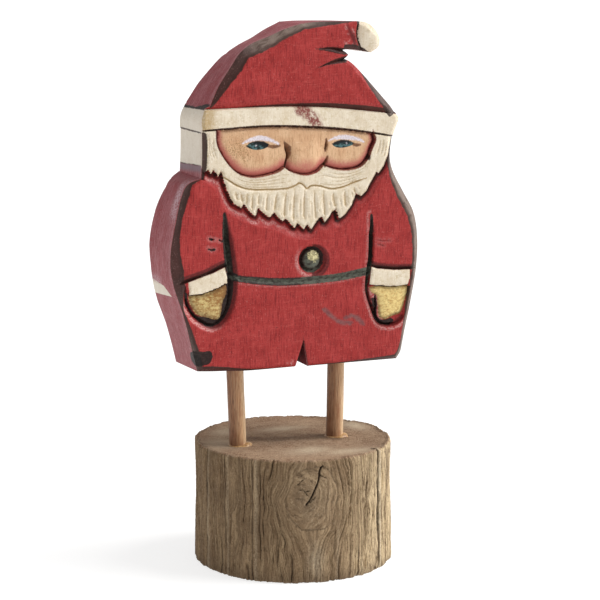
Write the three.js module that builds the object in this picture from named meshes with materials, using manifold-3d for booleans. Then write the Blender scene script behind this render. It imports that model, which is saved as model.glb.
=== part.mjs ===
// A carved folk Santa: a figure cut from one thick board, standing on two dowel legs in a slice of log.
// Millimetres, +Z up, the figure faces -Y. The origin is the middle of the log's underside.

import * as THREE from "three";
import { mergeVertices } from "three/addons/utils/BufferGeometryUtils.js";
import Module from "manifold-3d";

// The log slice.
const logDiameter = 111;
const logHeight = 67.5;
const logTaper = 0.4; // the top's radius is this much smaller
const logTopEdge = 1; // worn edge round the sawn top
const logBottomEdge = 0.9; // deeper wear where the log meets the floor
const logSides = 80;

// The legs, which are glued dowels that splay a little.
const legDiameter = 9.5;
const legSpacing = 57.4; // between the two axes at the log's top
const legExposed = 44.5; // from the log's top to the figure's hem
const logSocketDepth = 16;
const figureSocketDepth = 18;
const glueGap = 0.3; // round the dowel and at its end
const legShiftX = -0.5; // of both legs' feet from the figure's middle
const leftLegLean = 2.2; // degrees, tops apart
const rightLegLean = 1.0;
const legSides = 24;

// The board that the figure is carved from, and where it stands over the log.
const figureHeight = 185;
const figureThickness = 38;
const figureShiftX = -5;
const figureShiftY = -4.4;

// Depths of the carving below the board's face.
const facePocketDepth = 3.4;
const beardRecessDepth = 3.2;
const armGrooveDepth = 4;
const mittenDepth = 1.4;
const lineDepth = 1.5; // thin V-cuts such as the mustache's lower line
const beltDepth = 1.3;
const foldDepth = 2.4;
const nickDepth = 1;
const hairCutDepth = 0.8; // between the locks of hair, beard and mustache
const backBevel = 3;
const cheekSunk = 0.9; // how far the cheeks stay behind the board's face
const browSunk = 1.2;
const noseProud = 0.9; // how far the nose stands in front of the board's face

// The button and the dished ring round it.
const buttonRadius = 6;
const buttonRingRadius = 8.6;
const buttonRingDepth = 2.8;
const buttonProud = 0.6;

const wasm = await Module();
wasm.setup();

// The figure is drawn in hundredths of its own height: x from the middle of the board, z up from the hem.
const share = figureHeight / 100;
const front = -figureThickness / 2;
const back = figureThickness / 2;
const cutterLift = 2; // how far a cutter stands clear of the face
const skin = 0.01; // a cutter's shoulder lies this far outside the face

// Each stroke of the outline is a smooth curve through its points, clockwise as seen from the front.
// bevel is the width of the worn chamfer on the front edge, and flare is how far the sawn side leans out
// towards the back, both as values spread evenly along the stroke.
const outlineStrokes = [
  { name: "coat, left side", steps: 21,
    bevel: [1.4, 1.5, 1, 0.25, 1.9, 2.7, 2.1, 1.3, 1.1, 1.45, 1.7, 1.6, 1.3, 0.9, 0.5],
    flare: [0.5, 0.5, 1, 1.1, 0.4, -0.6, -0.7, 0.5],
    points: [[-31.4, 0.9], [-34.2, 12.3], [-37.9, 25.4], [-38.8, 35.7], [-37.1, 46], [-35.1, 52.6], [-33.2, 55.3],
      [-29.7, 56.5]] },
  { name: "hair, left side", steps: 3, bevel: [1.4], flare: [0.4, 0.4, 0.3],
    points: [[-29.7, 56.5], [-29.4, 62.7], [-29.4, 69.8]] },
  { name: "band, left end", steps: 6, bevel: [0.6, 0.4], flare: [0.3, -0.2, -0.6, 0.1],
    points: [[-29.4, 69.8], [-29.6, 73], [-28.7, 75.9], [-27.2, 76.8]] },
  { name: "hat, left slope", steps: 14, bevel: [0.4, 1.8, 2.6, 2.3, 3.1, 2.8, 2.2, 1.5],
    flare: [0.3, 0.1, -0.5, -1.8, -1.5, -1.1, -0.65, 0],
    points: [[-27.2, 76.8], [-24.1, 82.3], [-19.8, 88.2], [-17.2, 91.8], [-13.4, 94.2], [-8.7, 96], [-4, 98],
      [1, 99.5]] },
  { name: "hat, top", steps: 4, bevel: [1.5, 1.6, 0.3], flare: [0, -0.3, -0.5],
    points: [[1, 99.5], [6.5, 100], [17.9, 100]] },
  { name: "pom", steps: 12, bevel: [1.7], flare: [-0.5, 0, 0],
    points: [[17.9, 100], [21, 99.6], [23.2, 98.3], [24.7, 96.5], [25.5, 94.5], [25, 92.4], [22.6, 90.9]] },
  { name: "tip, underside", steps: 4, bevel: [1.4, 0.9], flare: [0],
    points: [[22.6, 90.9], [19.4, 91.5], [16.2, 92], [13.4, 91.9]] },
  { name: "folds", straight: true, bevel: [0.4], flare: [0],
    points: [[13.4, 91.9], [15.1, 90.5], [13.9, 89.3]] },
  { name: "hat, right slope", steps: 14, bevel: [0.8, 1.3, 2.3], flare: [0],
    points: [[13.9, 89.3], [15.4, 88.7], [17.2, 87.4], [19.7, 85], [21.7, 83], [25.8, 78.7], [29.2, 75.1],
      [30.5, 73.3]] },
  { name: "band, right end", steps: 5, bevel: [1.3], flare: [0],
    points: [[30.5, 73.3], [31.5, 71.5], [30.8, 69.4], [29.6, 66.3]] },
  { name: "hair and coat, right side", steps: 26, bevel: [1.8, 1.3], flare: [0],
    points: [[29.6, 66.3], [29, 60.5], [30.1, 55.9], [33.2, 50.2], [36.8, 43.6], [38.1, 35.7], [37.7, 26.5],
      [35.8, 16], [34.2, 8.9], [33.4, 4.9], [32.7, 2], [31.3, 0]] },
  { name: "hem, right", straight: true, bevel: [1.1, 0.8], flare: [0], points: [[31.3, 0], [2.5, 0]] },
  { name: "notch between the legs", straight: true, bevel: [0.3], flare: [0],
    points: [[2.5, 0], [1.1, 7.8], [-1.5, 0.1]] },
  { name: "hem, left", steps: 4, bevel: [0.9, 1.4], flare: [0],
    points: [[-1.5, 0.1], [-15.5, 0], [-22.8, 0.4], [-27.2, 0.6], [-31.4, 0.9]] },
];

// The carved lines and regions of the front, in the same drawing. Lines run from left to right.
const bandTopLine = [[-28.6, 76], [-22.7, 76.1], [-7.6, 76.2], [7.6, 75.6], [23.2, 73.9], [31.4, 72.8]];
const bandLowLine = [[-30.8, 69.9], [-24.3, 70.3], [-9.2, 70.8], [7.6, 69.8], [18.9, 68.4], [30.8, 66.3]];
const leftCheekOutline = [[-25.5, 70.3], [-25.2, 66.3], [-23.6, 62.3], [-20.8, 59.1], [-17, 57], [-12.2, 56.4],
  [-7.9, 57.6], [-4.8, 59.4]];
const noseOutline = [[-4.1, 58.7], [-1.8, 56.8], [1.7, 56.1], [5.4, 56.9], [7.9, 59]];
const rightCheekOutline = [[8.4, 58.9], [11, 57.6], [15.4, 57.3], [19.2, 58.5], [21.8, 61.5], [22.9, 65.6],
  [22.7, 68.6]];
const mustacheLine = [[-24.9, 57], [-20.5, 54.8], [-15.1, 52.8], [-9.5, 52.1], [-4.3, 52.6], [-0.5, 53.8],
  [1.6, 53], [3.8, 53.7], [8.1, 52.2], [13, 51.9], [16.8, 52.9], [20.5, 54.9]];
const beardOutline = [[-30.2, 59.7], [-28.8, 57.5], [-27.8, 58.5], [-26.4, 55.5], [-25.2, 57], [-24, 55.4],
  [-22.9, 52.6], [-21.4, 49.9], [-19.7, 48], [-17.7, 47.4], [-17.3, 48.8], [-13.7, 44.4], [-13, 47.4], [-9.4, 44.2],
  [-8.2, 45.9], [-5.4, 42.6], [-4.2, 43.9], [-1.7, 40.3], [-0.8, 42.2], [1.7, 39.7], [2.5, 41.4], [4, 39.4],
  [6.3, 43.8], [7.9, 41.5], [9.1, 44.4], [10.8, 45.6], [12.2, 42.5], [14.3, 44.1], [16.1, 46.2], [17.8, 50.3],
  [19.5, 49], [22.6, 53.9], [26.1, 57.7], [27.8, 60.9], [29.8, 63.2]];
const beardRecessRim = [[-31.1, 57.8], [-28.6, 55.4], [-26.2, 53.3], [-24, 48.9], [-21.3, 45.7], [-15.1, 42.8],
  [-7.6, 40.5], [-2.5, 38.2], [3.2, 37.3], [7.9, 39.8], [14.1, 40.8], [18.6, 44.1], [22.2, 48.4], [25.6, 53.8],
  [28.6, 57.6], [31.4, 61.3]];
const beardStrands = [-19.5, -16.8, -14.3, -11.6, -8.9, -6.2, -3.8, -1.3, 1.5, 4.1, 6.7, 9.4, 12.1, 15.1];
const hairCuts = [
  [[-27.8, 68.8], [-28, 63.6], [-27.2, 59.4]], [[-26.3, 68], [-26.5, 63], [-24.8, 58.8]],
  [[24.7, 66.6], [24.9, 62.4], [22.9, 58.4]], [[26.9, 65.8], [27.2, 62.4], [25.2, 58.8]],
  [[-5.2, 55.6], [-10.4, 54.4], [-15.8, 55], [-21, 57.6]], [[7, 55.2], [11.6, 54.4], [16, 55.2], [20, 57.8]],
];
const leftArmGroove = [[-23.2, 46.7], [-22.4, 40.5], [-21.6, 34.1], [-20.9, 28.1], [-21.1, 22.7], [-23, 18.1],
  [-26.5, 14.9], [-30.5, 15], [-33.5, 18.2], [-35.4, 22.7]];
const rightArmGroove = [[22.7, 44.1], [22.9, 37.8], [22.2, 30.8], [21.1, 24.9], [21.4, 20.5], [22.9, 15.7],
  [25.2, 11.9], [28.6, 10.5], [32.4, 12.2]];
const leftCuffTop = [[-36.5, 26.7], [-30.8, 27.9], [-26.6, 29.3], [-22.5, 31.2]];
const rightCuffTop = [[22.2, 28.3], [28.6, 27.6], [37.8, 26.9]];
const leftMitten = [[-34.3, 22.9], [-33, 19.2], [-30.6, 16.5], [-27.9, 16], [-25.2, 17.6], [-23.1, 20.5],
  [-22.4, 24.6], [-29.6, 22.8]];
const rightMitten = [[22.4, 22.4], [23.8, 19.7], [25.2, 14.4], [27, 12.3], [29.7, 12.3], [32.8, 14.4],
  [34.3, 17.8], [35, 21.8]];
const beltLine = [[-20.2, 28], [-15.1, 26.8], [-6.5, 25.6], [3.2, 25.3], [13, 26.3], [21.6, 28.1]];
const buttonCentre = [3.7, 31.5];
const hatFolds = [[[4.9, 92.5], [9.7, 93.2], [14.1, 92.5]], [[4.9, 86.7], [9.2, 87.9], [14.1, 88.6]]];
const pomGroove = [[18.9, 100.4], [18.1, 98.2], [18.1, 95.6], [18.9, 93.1], [20.3, 90.8]];
const elbowNicks = [
  [[-27.9, 39.7], [-23.8, 38.4]], [[-27.9, 36.5], [-23.8, 35.8]],
  [[23.8, 36.9], [28.4, 36]], [[23.8, 34.9], [27.9, 34.4]],
];

// A drawn point at depth y on the board.
function onBoard(point, y) {
  return new THREE.Vector3(point.x * share, y, point.y * share);
}

// A smooth line through drawn points, as evenly numbered steps.
function smoothLine(points, steps) {
  return new THREE.SplineCurve(points.map(([x, z]) => new THREE.Vector2(x, z))).getPoints(steps);
}

// Straight lines between drawn points.
function straightLine(points) {
  return points.map(([x, z]) => new THREE.Vector2(x, z));
}

// The triangles that fill a flat outline, each one turning the same way as the outline does.
function capFaces(outline) {
  const faces = THREE.ShapeUtils.triangulateShape(outline, []);
  const turn = faces.reduce((sum, face) => sum + THREE.ShapeUtils.area(face.map((i) => outline[i])), 0);
  if (turn * THREE.ShapeUtils.area(outline) > 0) return faces;
  return faces.map(([a, b, c]) => [a, c, b]);
}

// A closed mesh through rings of equal length, with both ends capped. Rings run clockwise when seen from
// where the loft starts, and flatten maps a ring's point to the plane that its cap is triangulated in.
function loft(rings, flatten) {
  const count = rings[0].length;
  const positions = rings.flat().flatMap((p) => [p.x, p.y, p.z]);
  const faces = [];
  for (let r = 0; r + 1 < rings.length; r++) {
    for (let i = 0; i < count; i++) {
      const a = r * count + i;
      const b = r * count + ((i + 1) % count);
      faces.push(a, a + count, b, b, a + count, b + count);
    }
  }
  const last = (rings.length - 1) * count;
  const lastRing = rings[rings.length - 1];
  for (const [a, b, c] of capFaces(rings[0].map(flatten))) faces.push(a, b, c);
  for (const [a, b, c] of capFaces(lastRing.map(flatten))) faces.push(last + a, last + c, last + b);
  const geometry = new THREE.BufferGeometry();
  geometry.setAttribute("position", new THREE.Float32BufferAttribute(positions, 3));
  geometry.setIndex(faces);
  return geometry;
}

// A three.js geometry as a solid that can be joined and cut. One that was built inside out is turned round.
function solid(geometry) {
  const bare = new THREE.BufferGeometry();
  bare.setAttribute("position", geometry.getAttribute("position"));
  bare.setIndex(geometry.getIndex());
  const merged = mergeVertices(bare, 1e-4);
  const vertProperties = merged.getAttribute("position").array;
  const triVerts = new Uint32Array(merged.getIndex().array);
  const made = new wasm.Manifold(new wasm.Mesh({ numProp: 3, vertProperties, triVerts }));
  if (made.volume() > 0) return made;
  return new wasm.Manifold(new wasm.Mesh({ numProp: 3, vertProperties, triVerts: triVerts.reverse() }));
}

// A solid as three.js geometry again.
function geometryOf(manifold) {
  const mesh = manifold.getMesh();
  const geometry = new THREE.BufferGeometry();
  geometry.setAttribute("position", new THREE.BufferAttribute(mesh.vertProperties, 3));
  geometry.setIndex(new THREE.BufferAttribute(mesh.triVerts, 1));
  return geometry;
}

// Values spread evenly along a stroke, read at share t of it.
function spread(values, t) {
  const at = t * (values.length - 1);
  const i = Math.min(Math.floor(at), values.length - 1);
  return THREE.MathUtils.lerp(values[i], values[Math.min(i + 1, values.length - 1)], at - i);
}

// The board's outline, with the bevel and the flare at each point.
function outlinePoints() {
  return outlineStrokes.flatMap(({ points, steps, straight, bevel, flare }) => {
    const line = straight ? straightLine(points) : smoothLine(points, steps);
    return line.slice(0, -1).map((p, i) => {
      const t = i / (line.length - 1);
      const [bevelHere, flareHere] = [bevel, flare].map((values) => spread(values, t) * share);
      return { x: p.x * share, z: p.y * share, bevel: bevelHere, flare: flareHere };
    });
  });
}

// A ring of the board at depth y(point), pulled in from the outline by inset(point).
function boardRing(outline, y, inset) {
  const longestMitre = 1.4;
  return outline.map((p, i) => {
    const before = outline[(i + outline.length - 1) % outline.length];
    const after = outline[(i + 1) % outline.length];
    const incoming = new THREE.Vector2(p.x - before.x, p.z - before.z).normalize();
    const outgoing = new THREE.Vector2(after.x - p.x, after.z - p.z).normalize();
    const normal = incoming.clone().add(outgoing).normalize();
    const mitre = Math.min(longestMitre, 1 / Math.max(0.5, normal.dot(outgoing)));
    const pull = inset(p) * mitre;
    return new THREE.Vector3(p.x + normal.y * pull, y(p), p.z - normal.x * pull);
  });
}

// The blank: the outline sawn out of the board, with its edges chamfered front and back.
function boardBlank() {
  const outline = outlinePoints();
  const backEdge = (p) => Math.min(backBevel, p.bevel);
  const rings = [
    boardRing(outline, () => front, (p) => p.bevel),
    boardRing(outline, (p) => front + p.bevel, () => 0),
    boardRing(outline, (p) => back - backEdge(p), (p) => -p.flare),
    boardRing(outline, () => back, (p) => backEdge(p) - p.flare),
  ];
  return solid(loft(rings, (p) => new THREE.Vector2(p.x, p.z)));
}

// A V-shaped cut along a line in the face. left and right are the widths of its two walls, drawn, as seen
// when walking along the line, and the cut runs out to nothing over the shares of its ends in taper.
function gouge(line, { left, right, depth, taper = [0.2, 0.2] }) {
  const thinnest = 0.12;
  const rings = line.map((p, i) => {
    const before = line[Math.max(0, i - 1)];
    const after = line[Math.min(line.length - 1, i + 1)];
    const along = after.clone().sub(before).normalize();
    const across = new THREE.Vector2(-along.y, along.x);
    const t = i / (line.length - 1);
    const fade = (distance, over) => (over ? distance / over : 1);
    const size = Math.max(thinnest, Math.min(1, fade(t, taper[0]), fade(1 - t, taper[1])));
    const at = (side, y) => onBoard(p.clone().addScaledVector(across, side * size), y);
    return [
      at(left, front - cutterLift), at(left, front - skin), at(0, front + depth * size),
      at(-right, front - skin), at(-right, front - cutterLift),
    ];
  });
  return solid(fanCapped(rings));
}

// A loft whose end rings are convex enough to be capped by a fan from their first point.
function fanCapped(rings) {
  const places = new Map();
  for (const ring of [rings[0], rings[rings.length - 1]]) {
    ring.forEach((p, i) => {
      const angle = (2 * Math.PI * i) / ring.length;
      places.set(p, new THREE.Vector2(Math.cos(angle), Math.sin(angle)));
    });
  }
  return loft(rings, (p) => places.get(p));
}

// A flat-bottomed pocket of the given drawn outline.
function pocket(points, depth) {
  const ring = (y) => points.map((p) => onBoard(p, y));
  return solid(loft([ring(front - cutterLift), ring(front + depth)], (p) => new THREE.Vector2(p.x, p.z)));
}

// A rounded swelling of drawn half sizes that rises from depth floor below the face to rise above that floor.
function pillow([x, z], [halfWidth, halfHeight], floor, rise) {
  const geometry = new THREE.SphereGeometry(1, 28, 16);
  geometry.scale(halfWidth * share, rise, halfHeight * share);
  geometry.translate(x * share, front + floor, z * share);
  return solid(geometry);
}

// The face: a sunk pocket with two cheeks, a brow and a nose that swell out of it.
function carveFace(figure) {
  const cheekSteps = 12;
  const browLift = 0.3; // the pocket runs a little way into the band's lower cut
  const left = smoothLine(leftCheekOutline, cheekSteps);
  const nose = smoothLine(noseOutline, cheekSteps);
  const right = smoothLine(rightCheekOutline, cheekSteps);
  const between = (p) => p.x > left[0].x && p.x < right[right.length - 1].x;
  const brow = smoothLine(bandLowLine, cheekSteps).filter(between).reverse();
  for (const p of brow) p.y += browLift;
  const outline = [...left, ...nose, ...right, ...brow];
  const floor = facePocketDepth + 0.4;
  const swellings = [
    pillow([-15.1, 64.3], [10.3, 7.9], floor, floor - cheekSunk),
    pillow([15.5, 63.8], [7.4, 6.5], floor, floor - cheekSunk),
    pillow([-1.1, 68.1], [23.8, 3.5], floor, floor - browSunk),
    pillow([1.7, 60.9], [5.8, 4.6], floor, floor + noseProud),
    pillow([1.6, 65.4], [5.1, 6.5], floor, floor),
  ];
  const inside = pocket(outline, facePocketDepth + cutterLift);
  const swelling = swellings.reduce((sum, one) => sum.add(one)).intersect(inside);
  return figure.subtract(pocket(outline, facePocketDepth)).add(swelling);
}

// The recess that sets the beard off from the coat: deep at the beard's ragged edge, rising to its rim.
function beardRecess() {
  const edge = straightLine(beardOutline);
  const rim = smoothLine(beardRecessRim, 90);
  const middle = new THREE.Vector2(0, 66);
  const bearing = (p) => p.clone().sub(middle).rotateAround(new THREE.Vector2(), Math.PI / 2).angle();
  const rings = edge.map((p) => {
    const q = rim.reduce((best, r) =>
      Math.abs(bearing(r) - bearing(p)) < Math.abs(bearing(best) - bearing(p)) ? r : best);
    return [
      onBoard(p, front - cutterLift), onBoard(p, front + beardRecessDepth),
      onBoard(q, front - skin), onBoard(q, front - cutterLift),
    ];
  });
  return solid(fanCapped(rings));
}

// The beard's locks: one shallow cut for each strand, from under the mustache towards the tips.
function strandCuts() {
  const strandTop = 51.4;
  const beardMiddle = 1.6;
  const fan = 0.86; // the locks draw in a little towards the tips
  return beardStrands.map((x, i) => {
    const fromMiddle = x - beardMiddle;
    const tip = 42.2 + Math.abs(fromMiddle) * 0.26 + (i % 3) * 0.6;
    const line = [[x, strandTop], [beardMiddle + fromMiddle * fan, tip]];
    return gouge(smoothLine(line, 3), { left: 0.6, right: 0.6, depth: hairCutDepth, taper: [0.34, 0] });
  });
}

// The button: a dished ring cut in the coat, with a dome left standing in it.
function carveButton(figure) {
  const [x, z] = buttonCentre.map((v) => v * share);
  const dish = new THREE.CylinderGeometry(buttonRadius, buttonRingRadius, buttonRingDepth, 32);
  dish.translate(x, front + buttonRingDepth / 2 - skin, z);
  const dome = new THREE.SphereGeometry(1, 24, 12);
  const foot = buttonRadius * 0.94;
  dome.scale(foot, buttonRingDepth + buttonProud, foot);
  dome.translate(x, front + buttonRingDepth, z);
  return figure.subtract(solid(dish)).add(solid(dome));
}

// Every V-cut of the front.
function lineCuts() {
  const openEnds = [0, 0];
  const nearlyFull = [0.06, 0.06];
  const armEnds = [0.14, 0.1];
  const edgeDepth = lineDepth + 0.5; // where one surface is carved down to meet the next
  return [
    gouge(smoothLine(bandTopLine, 16), { left: 2.4, right: 0.5, depth: edgeDepth, taper: openEnds }),
    gouge(smoothLine(bandLowLine, 16), { left: 0.4, right: 0.6, depth: lineDepth, taper: openEnds }),
    gouge(smoothLine(mustacheLine, 30), { left: 0.5, right: 0.9, depth: lineDepth, taper: nearlyFull }),
    gouge(smoothLine(leftArmGroove, 24), { left: 1.4, right: 1.2, depth: armGrooveDepth, taper: armEnds }),
    gouge(smoothLine(rightArmGroove, 22), { left: 1, right: 0.9, depth: armGrooveDepth, taper: armEnds }),
    gouge(smoothLine(leftCuffTop, 8), { left: 1.6, right: 0.3, depth: edgeDepth, taper: openEnds }),
    gouge(smoothLine(rightCuffTop, 8), { left: 1.3, right: 0.3, depth: edgeDepth, taper: openEnds }),
    gouge(smoothLine(beltLine, 16), { left: 1.2, right: 1.2, depth: beltDepth, taper: nearlyFull }),
    gouge(smoothLine(pomGroove, 8), { left: 0.9, right: 0.5, depth: edgeDepth, taper: openEnds }),
    ...hatFolds.map((fold) =>
      gouge(smoothLine(fold, 6), { left: 1, right: 1, depth: foldDepth, taper: [0.8, 0] })),
    ...elbowNicks.map((nick) => gouge(smoothLine(nick, 4), { left: 0.5, right: 0.5, depth: nickDepth })),
    ...hairCuts.map((cut) => gouge(smoothLine(cut, 7), { left: 0.5, right: 0.5, depth: hairCutDepth })),
    ...strandCuts(),
  ];
}

// The drilled hole that a leg is glued into, running through both ends, in the legs' own frame.
function legBore(leg) {
  const length = logSocketDepth + legExposed + figureSocketDepth + 2 * glueGap;
  const radius = legDiameter / 2 + glueGap;
  const bore = new THREE.CylinderGeometry(radius, radius, length, legSides);
  bore.rotateX(Math.PI / 2).translate(0, 0, length / 2 - logSocketDepth - glueGap);
  bore.rotateY(THREE.MathUtils.degToRad(leg.lean)).translate(leg.x, 0, 0);
  return bore;
}

// The figure, in its own frame: x from the middle, y from the middle of the board, z up from the hem.
function carvedFigure(legs) {
  let figure = boardBlank();
  figure = figure.subtract(pocket(smoothLine(leftMitten, 20), mittenDepth));
  figure = figure.subtract(pocket(smoothLine(rightMitten, 20), mittenDepth));
  figure = figure.subtract(beardRecess());
  figure = carveFace(figure);
  figure = carveButton(figure);
  for (const cut of lineCuts()) figure = figure.subtract(cut);
  for (const leg of legs) figure = figure.subtract(solid(legBore(leg).translate(0, 0, -legExposed)));
  const largest = figure.decompose().sort((a, b) => b.volume() - a.volume())[0];
  return geometryOf(largest);
}

// The log's rim: not quite round, as [lobes, share of the radius, phase].
const logLobes = [[2, 0.006, 2.4], [3, 0.006, 6], [5, 0.004, 4.8], [9, 0.003, 3.6]];

function logRing(z, inset) {
  return Array.from({ length: logSides }, (_, i) => {
    const angle = (-2 * Math.PI * i) / logSides;
    const lobing = logLobes.reduce((sum, [lobes, size, phase]) => sum + size * Math.cos(lobes * angle + phase), 0);
    const radius = (logDiameter / 2) * (1 + lobing) - inset;
    return new THREE.Vector3(radius * Math.cos(angle), radius * Math.sin(angle), z);
  });
}

// Drying cracks down the log's side, at degrees round from the front towards +X. low and high are shares
// of the log's height.
const logCracks = [
  { azimuth: 38, width: 2.4, depth: 4.5, low: -0.05, high: 1.05 },
  { azimuth: -47, width: 1.8, depth: 2.6, low: -0.05, high: 1.05 },
  { azimuth: 2, width: 1.6, depth: 2.4, low: -0.05, high: 0.5 },
  { azimuth: 118, width: 2, depth: 3.6, low: -0.05, high: 1.05 },
  { azimuth: -140, width: 1.8, depth: 3, low: -0.05, high: 1.05 },
];

function crackCutter({ azimuth, width, depth, low, high }) {
  const a = THREE.MathUtils.degToRad(azimuth - 90);
  const outward = new THREE.Vector3(Math.cos(a), Math.sin(a), 0);
  const across = new THREE.Vector3(-Math.sin(a), Math.cos(a), 0);
  const outside = logDiameter * 0.53;
  const ring = (share) => {
    const at = (reach, side) =>
      outward.clone().multiplyScalar(reach).addScaledVector(across, side).setZ(share * logHeight);
    return [at(logDiameter / 2 - depth, 0), at(outside, -width), at(outside, width)];
  };
  return solid(fanCapped([ring(low), ring(high)]));
}

// The log slice, with the sockets for the legs bored into its top.
function logSlice(legs) {
  const rings = [
    logRing(0, logBottomEdge), logRing(logBottomEdge, 0),
    logRing(logHeight - logTopEdge, logTaper), logRing(logHeight, logTaper + logTopEdge),
  ];
  let slice = solid(loft(rings, (p) => new THREE.Vector2(p.x, p.y)));
  for (const crack of logCracks) slice = slice.subtract(crackCutter(crack));
  for (const leg of legs) {
    slice = slice.subtract(solid(legBore(leg).translate(figureShiftX, figureShiftY, logHeight)));
  }
  return geometryOf(slice);
}

// A dowel leg with its foot in the log's socket and its head in the figure's.
function legDowel() {
  const length = logSocketDepth + legExposed + figureSocketDepth;
  const dowel = new THREE.CylinderGeometry(legDiameter / 2, legDiameter / 2, length, legSides);
  return dowel.rotateX(Math.PI / 2).translate(0, 0, length / 2 - logSocketDepth);
}

const paintedWood = new THREE.MeshStandardMaterial({ color: 0xa83a3c, roughness: 0.62, metalness: 0 });
const dowelWood = new THREE.MeshStandardMaterial({ color: 0xa07a52, roughness: 0.6, metalness: 0 });
const logWood = new THREE.MeshStandardMaterial({ color: 0x8a7458, roughness: 0.85, metalness: 0 });

const legs = [
  { name: "left_leg_dowel", x: legShiftX - legSpacing / 2, lean: -leftLegLean },
  { name: "right_leg_dowel", x: legShiftX + legSpacing / 2, lean: rightLegLean },
];

const santa = new THREE.Group();

const log = new THREE.Mesh(logSlice(legs), logWood);
log.name = "log_base";
santa.add(log);

// The legs and the figure stand together on the log's top.
const stance = new THREE.Group();
stance.position.set(figureShiftX, figureShiftY, logHeight);
santa.add(stance);

for (const leg of legs) {
  const dowel = new THREE.Mesh(legDowel(), dowelWood);
  dowel.name = leg.name;
  dowel.position.x = leg.x;
  dowel.rotation.y = THREE.MathUtils.degToRad(leg.lean);
  stance.add(dowel);
}

const figure = new THREE.Mesh(carvedFigure(legs), paintedWood);
figure.name = "carved_figure";
figure.position.z = legExposed;
stance.add(figure);

export default santa;
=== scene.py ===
"""The looks of a carved folk Santa: the painted board, its dowel legs and the weathered slice of log.

Metres, +Z up, the figure faces -Y. The front is drawn in hundredths of the figure's height: x from the middle
of the board, z up from its hem. Depths of the carving are in millimetres below the board's face.
"""

import math
from functools import reduce
from types import SimpleNamespace

import bpy
import numpy as np
from mathutils import Matrix, Vector
from mathutils.geometry import delaunay_2d_cdt


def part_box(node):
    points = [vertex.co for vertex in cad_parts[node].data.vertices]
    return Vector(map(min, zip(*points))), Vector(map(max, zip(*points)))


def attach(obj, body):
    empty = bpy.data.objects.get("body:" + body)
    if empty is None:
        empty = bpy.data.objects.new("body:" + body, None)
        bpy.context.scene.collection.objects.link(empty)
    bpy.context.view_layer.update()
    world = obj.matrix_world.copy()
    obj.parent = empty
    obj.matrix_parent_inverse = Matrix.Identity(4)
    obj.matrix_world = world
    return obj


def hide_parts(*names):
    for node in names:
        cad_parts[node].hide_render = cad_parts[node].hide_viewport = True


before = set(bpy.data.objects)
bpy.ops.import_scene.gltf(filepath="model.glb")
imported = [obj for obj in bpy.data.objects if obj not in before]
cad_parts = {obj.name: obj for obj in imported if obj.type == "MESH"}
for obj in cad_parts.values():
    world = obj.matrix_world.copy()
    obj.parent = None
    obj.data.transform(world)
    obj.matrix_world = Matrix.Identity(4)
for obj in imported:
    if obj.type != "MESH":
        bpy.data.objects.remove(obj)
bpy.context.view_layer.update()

# Sizes of the real pieces.
MM = 0.001
figure_low, figure_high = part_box("carved_figure")
log_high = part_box("log_base")[1]
BOARD_MM = 38
BACK_Y = figure_high.y
FACE_Y = BACK_Y - BOARD_MM * MM
LOG_RADIUS = 55.5  # millimetres
LOG_TOP = log_high.z / MM
LEG_RADIUS = 4.75 * MM
GLUE_GAP = 0.3 * MM

# The carving's depths, as the solid has them; the hat's folds are a little shallower.
FACE_POCKET = 3.4
BEARD_RECESS = 3.2
ARM_GROOVE = 4
HAND_HOLLOW = 2.2
MITTEN_DEPTH = 1.2
LINE_DEPTH = 1.5
EDGE_DEPTH = 2
BELT_DEPTH = 1.3
FOLD_DEPTH = 1.8
NICK_DEPTH = 1
BACK_BEVEL = 3
CHEEK_SUNK = 0.9
BROW_SUNK = 1.2
NOSE_PROUD = 0.9
BUTTON_RADIUS = 6
BUTTON_RING = 8.6
BUTTON_RING_DEPTH = 2.8
BUTTON_PROUD = 0.6
BUTTON_DOME = 0.94 * BUTTON_RADIUS

# Rounding and marks that are in the looks alone: depths in millimetres, widths in the drawing's units.
LOCK_ROUNDING = 0.9
CUFF_ROUNDING = 0.5
MITTEN_DOME = 1.2
MITTEN_SHOULDER = 2.2
CROWN_DOME = 2.6
CROWN_SHOULDER = 3.4
NOSE_CUT_SHARE = 0.9
KNIFE_MARKS = [[7, 9, 0.16, 11], [1.4, 2.6, 0.06, 12]]  # width, length, depth, seed
KNIFE_MEAN = 0.12
# The nose's mounds and the eyes' hollows: middle and reach across, middle and reach up, share.
NOSE_MOUNDS = [[1.7, 4.4, 60.2, 3.8, 1], [1.6, 4.2, 64.6, 2.6, 0.35]]
EYE_HOLLOWS = [[-12.9, 5.4, 65.6, 2, 0.5], [14, 4.8, 65, 1.8, 0.5]]

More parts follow.
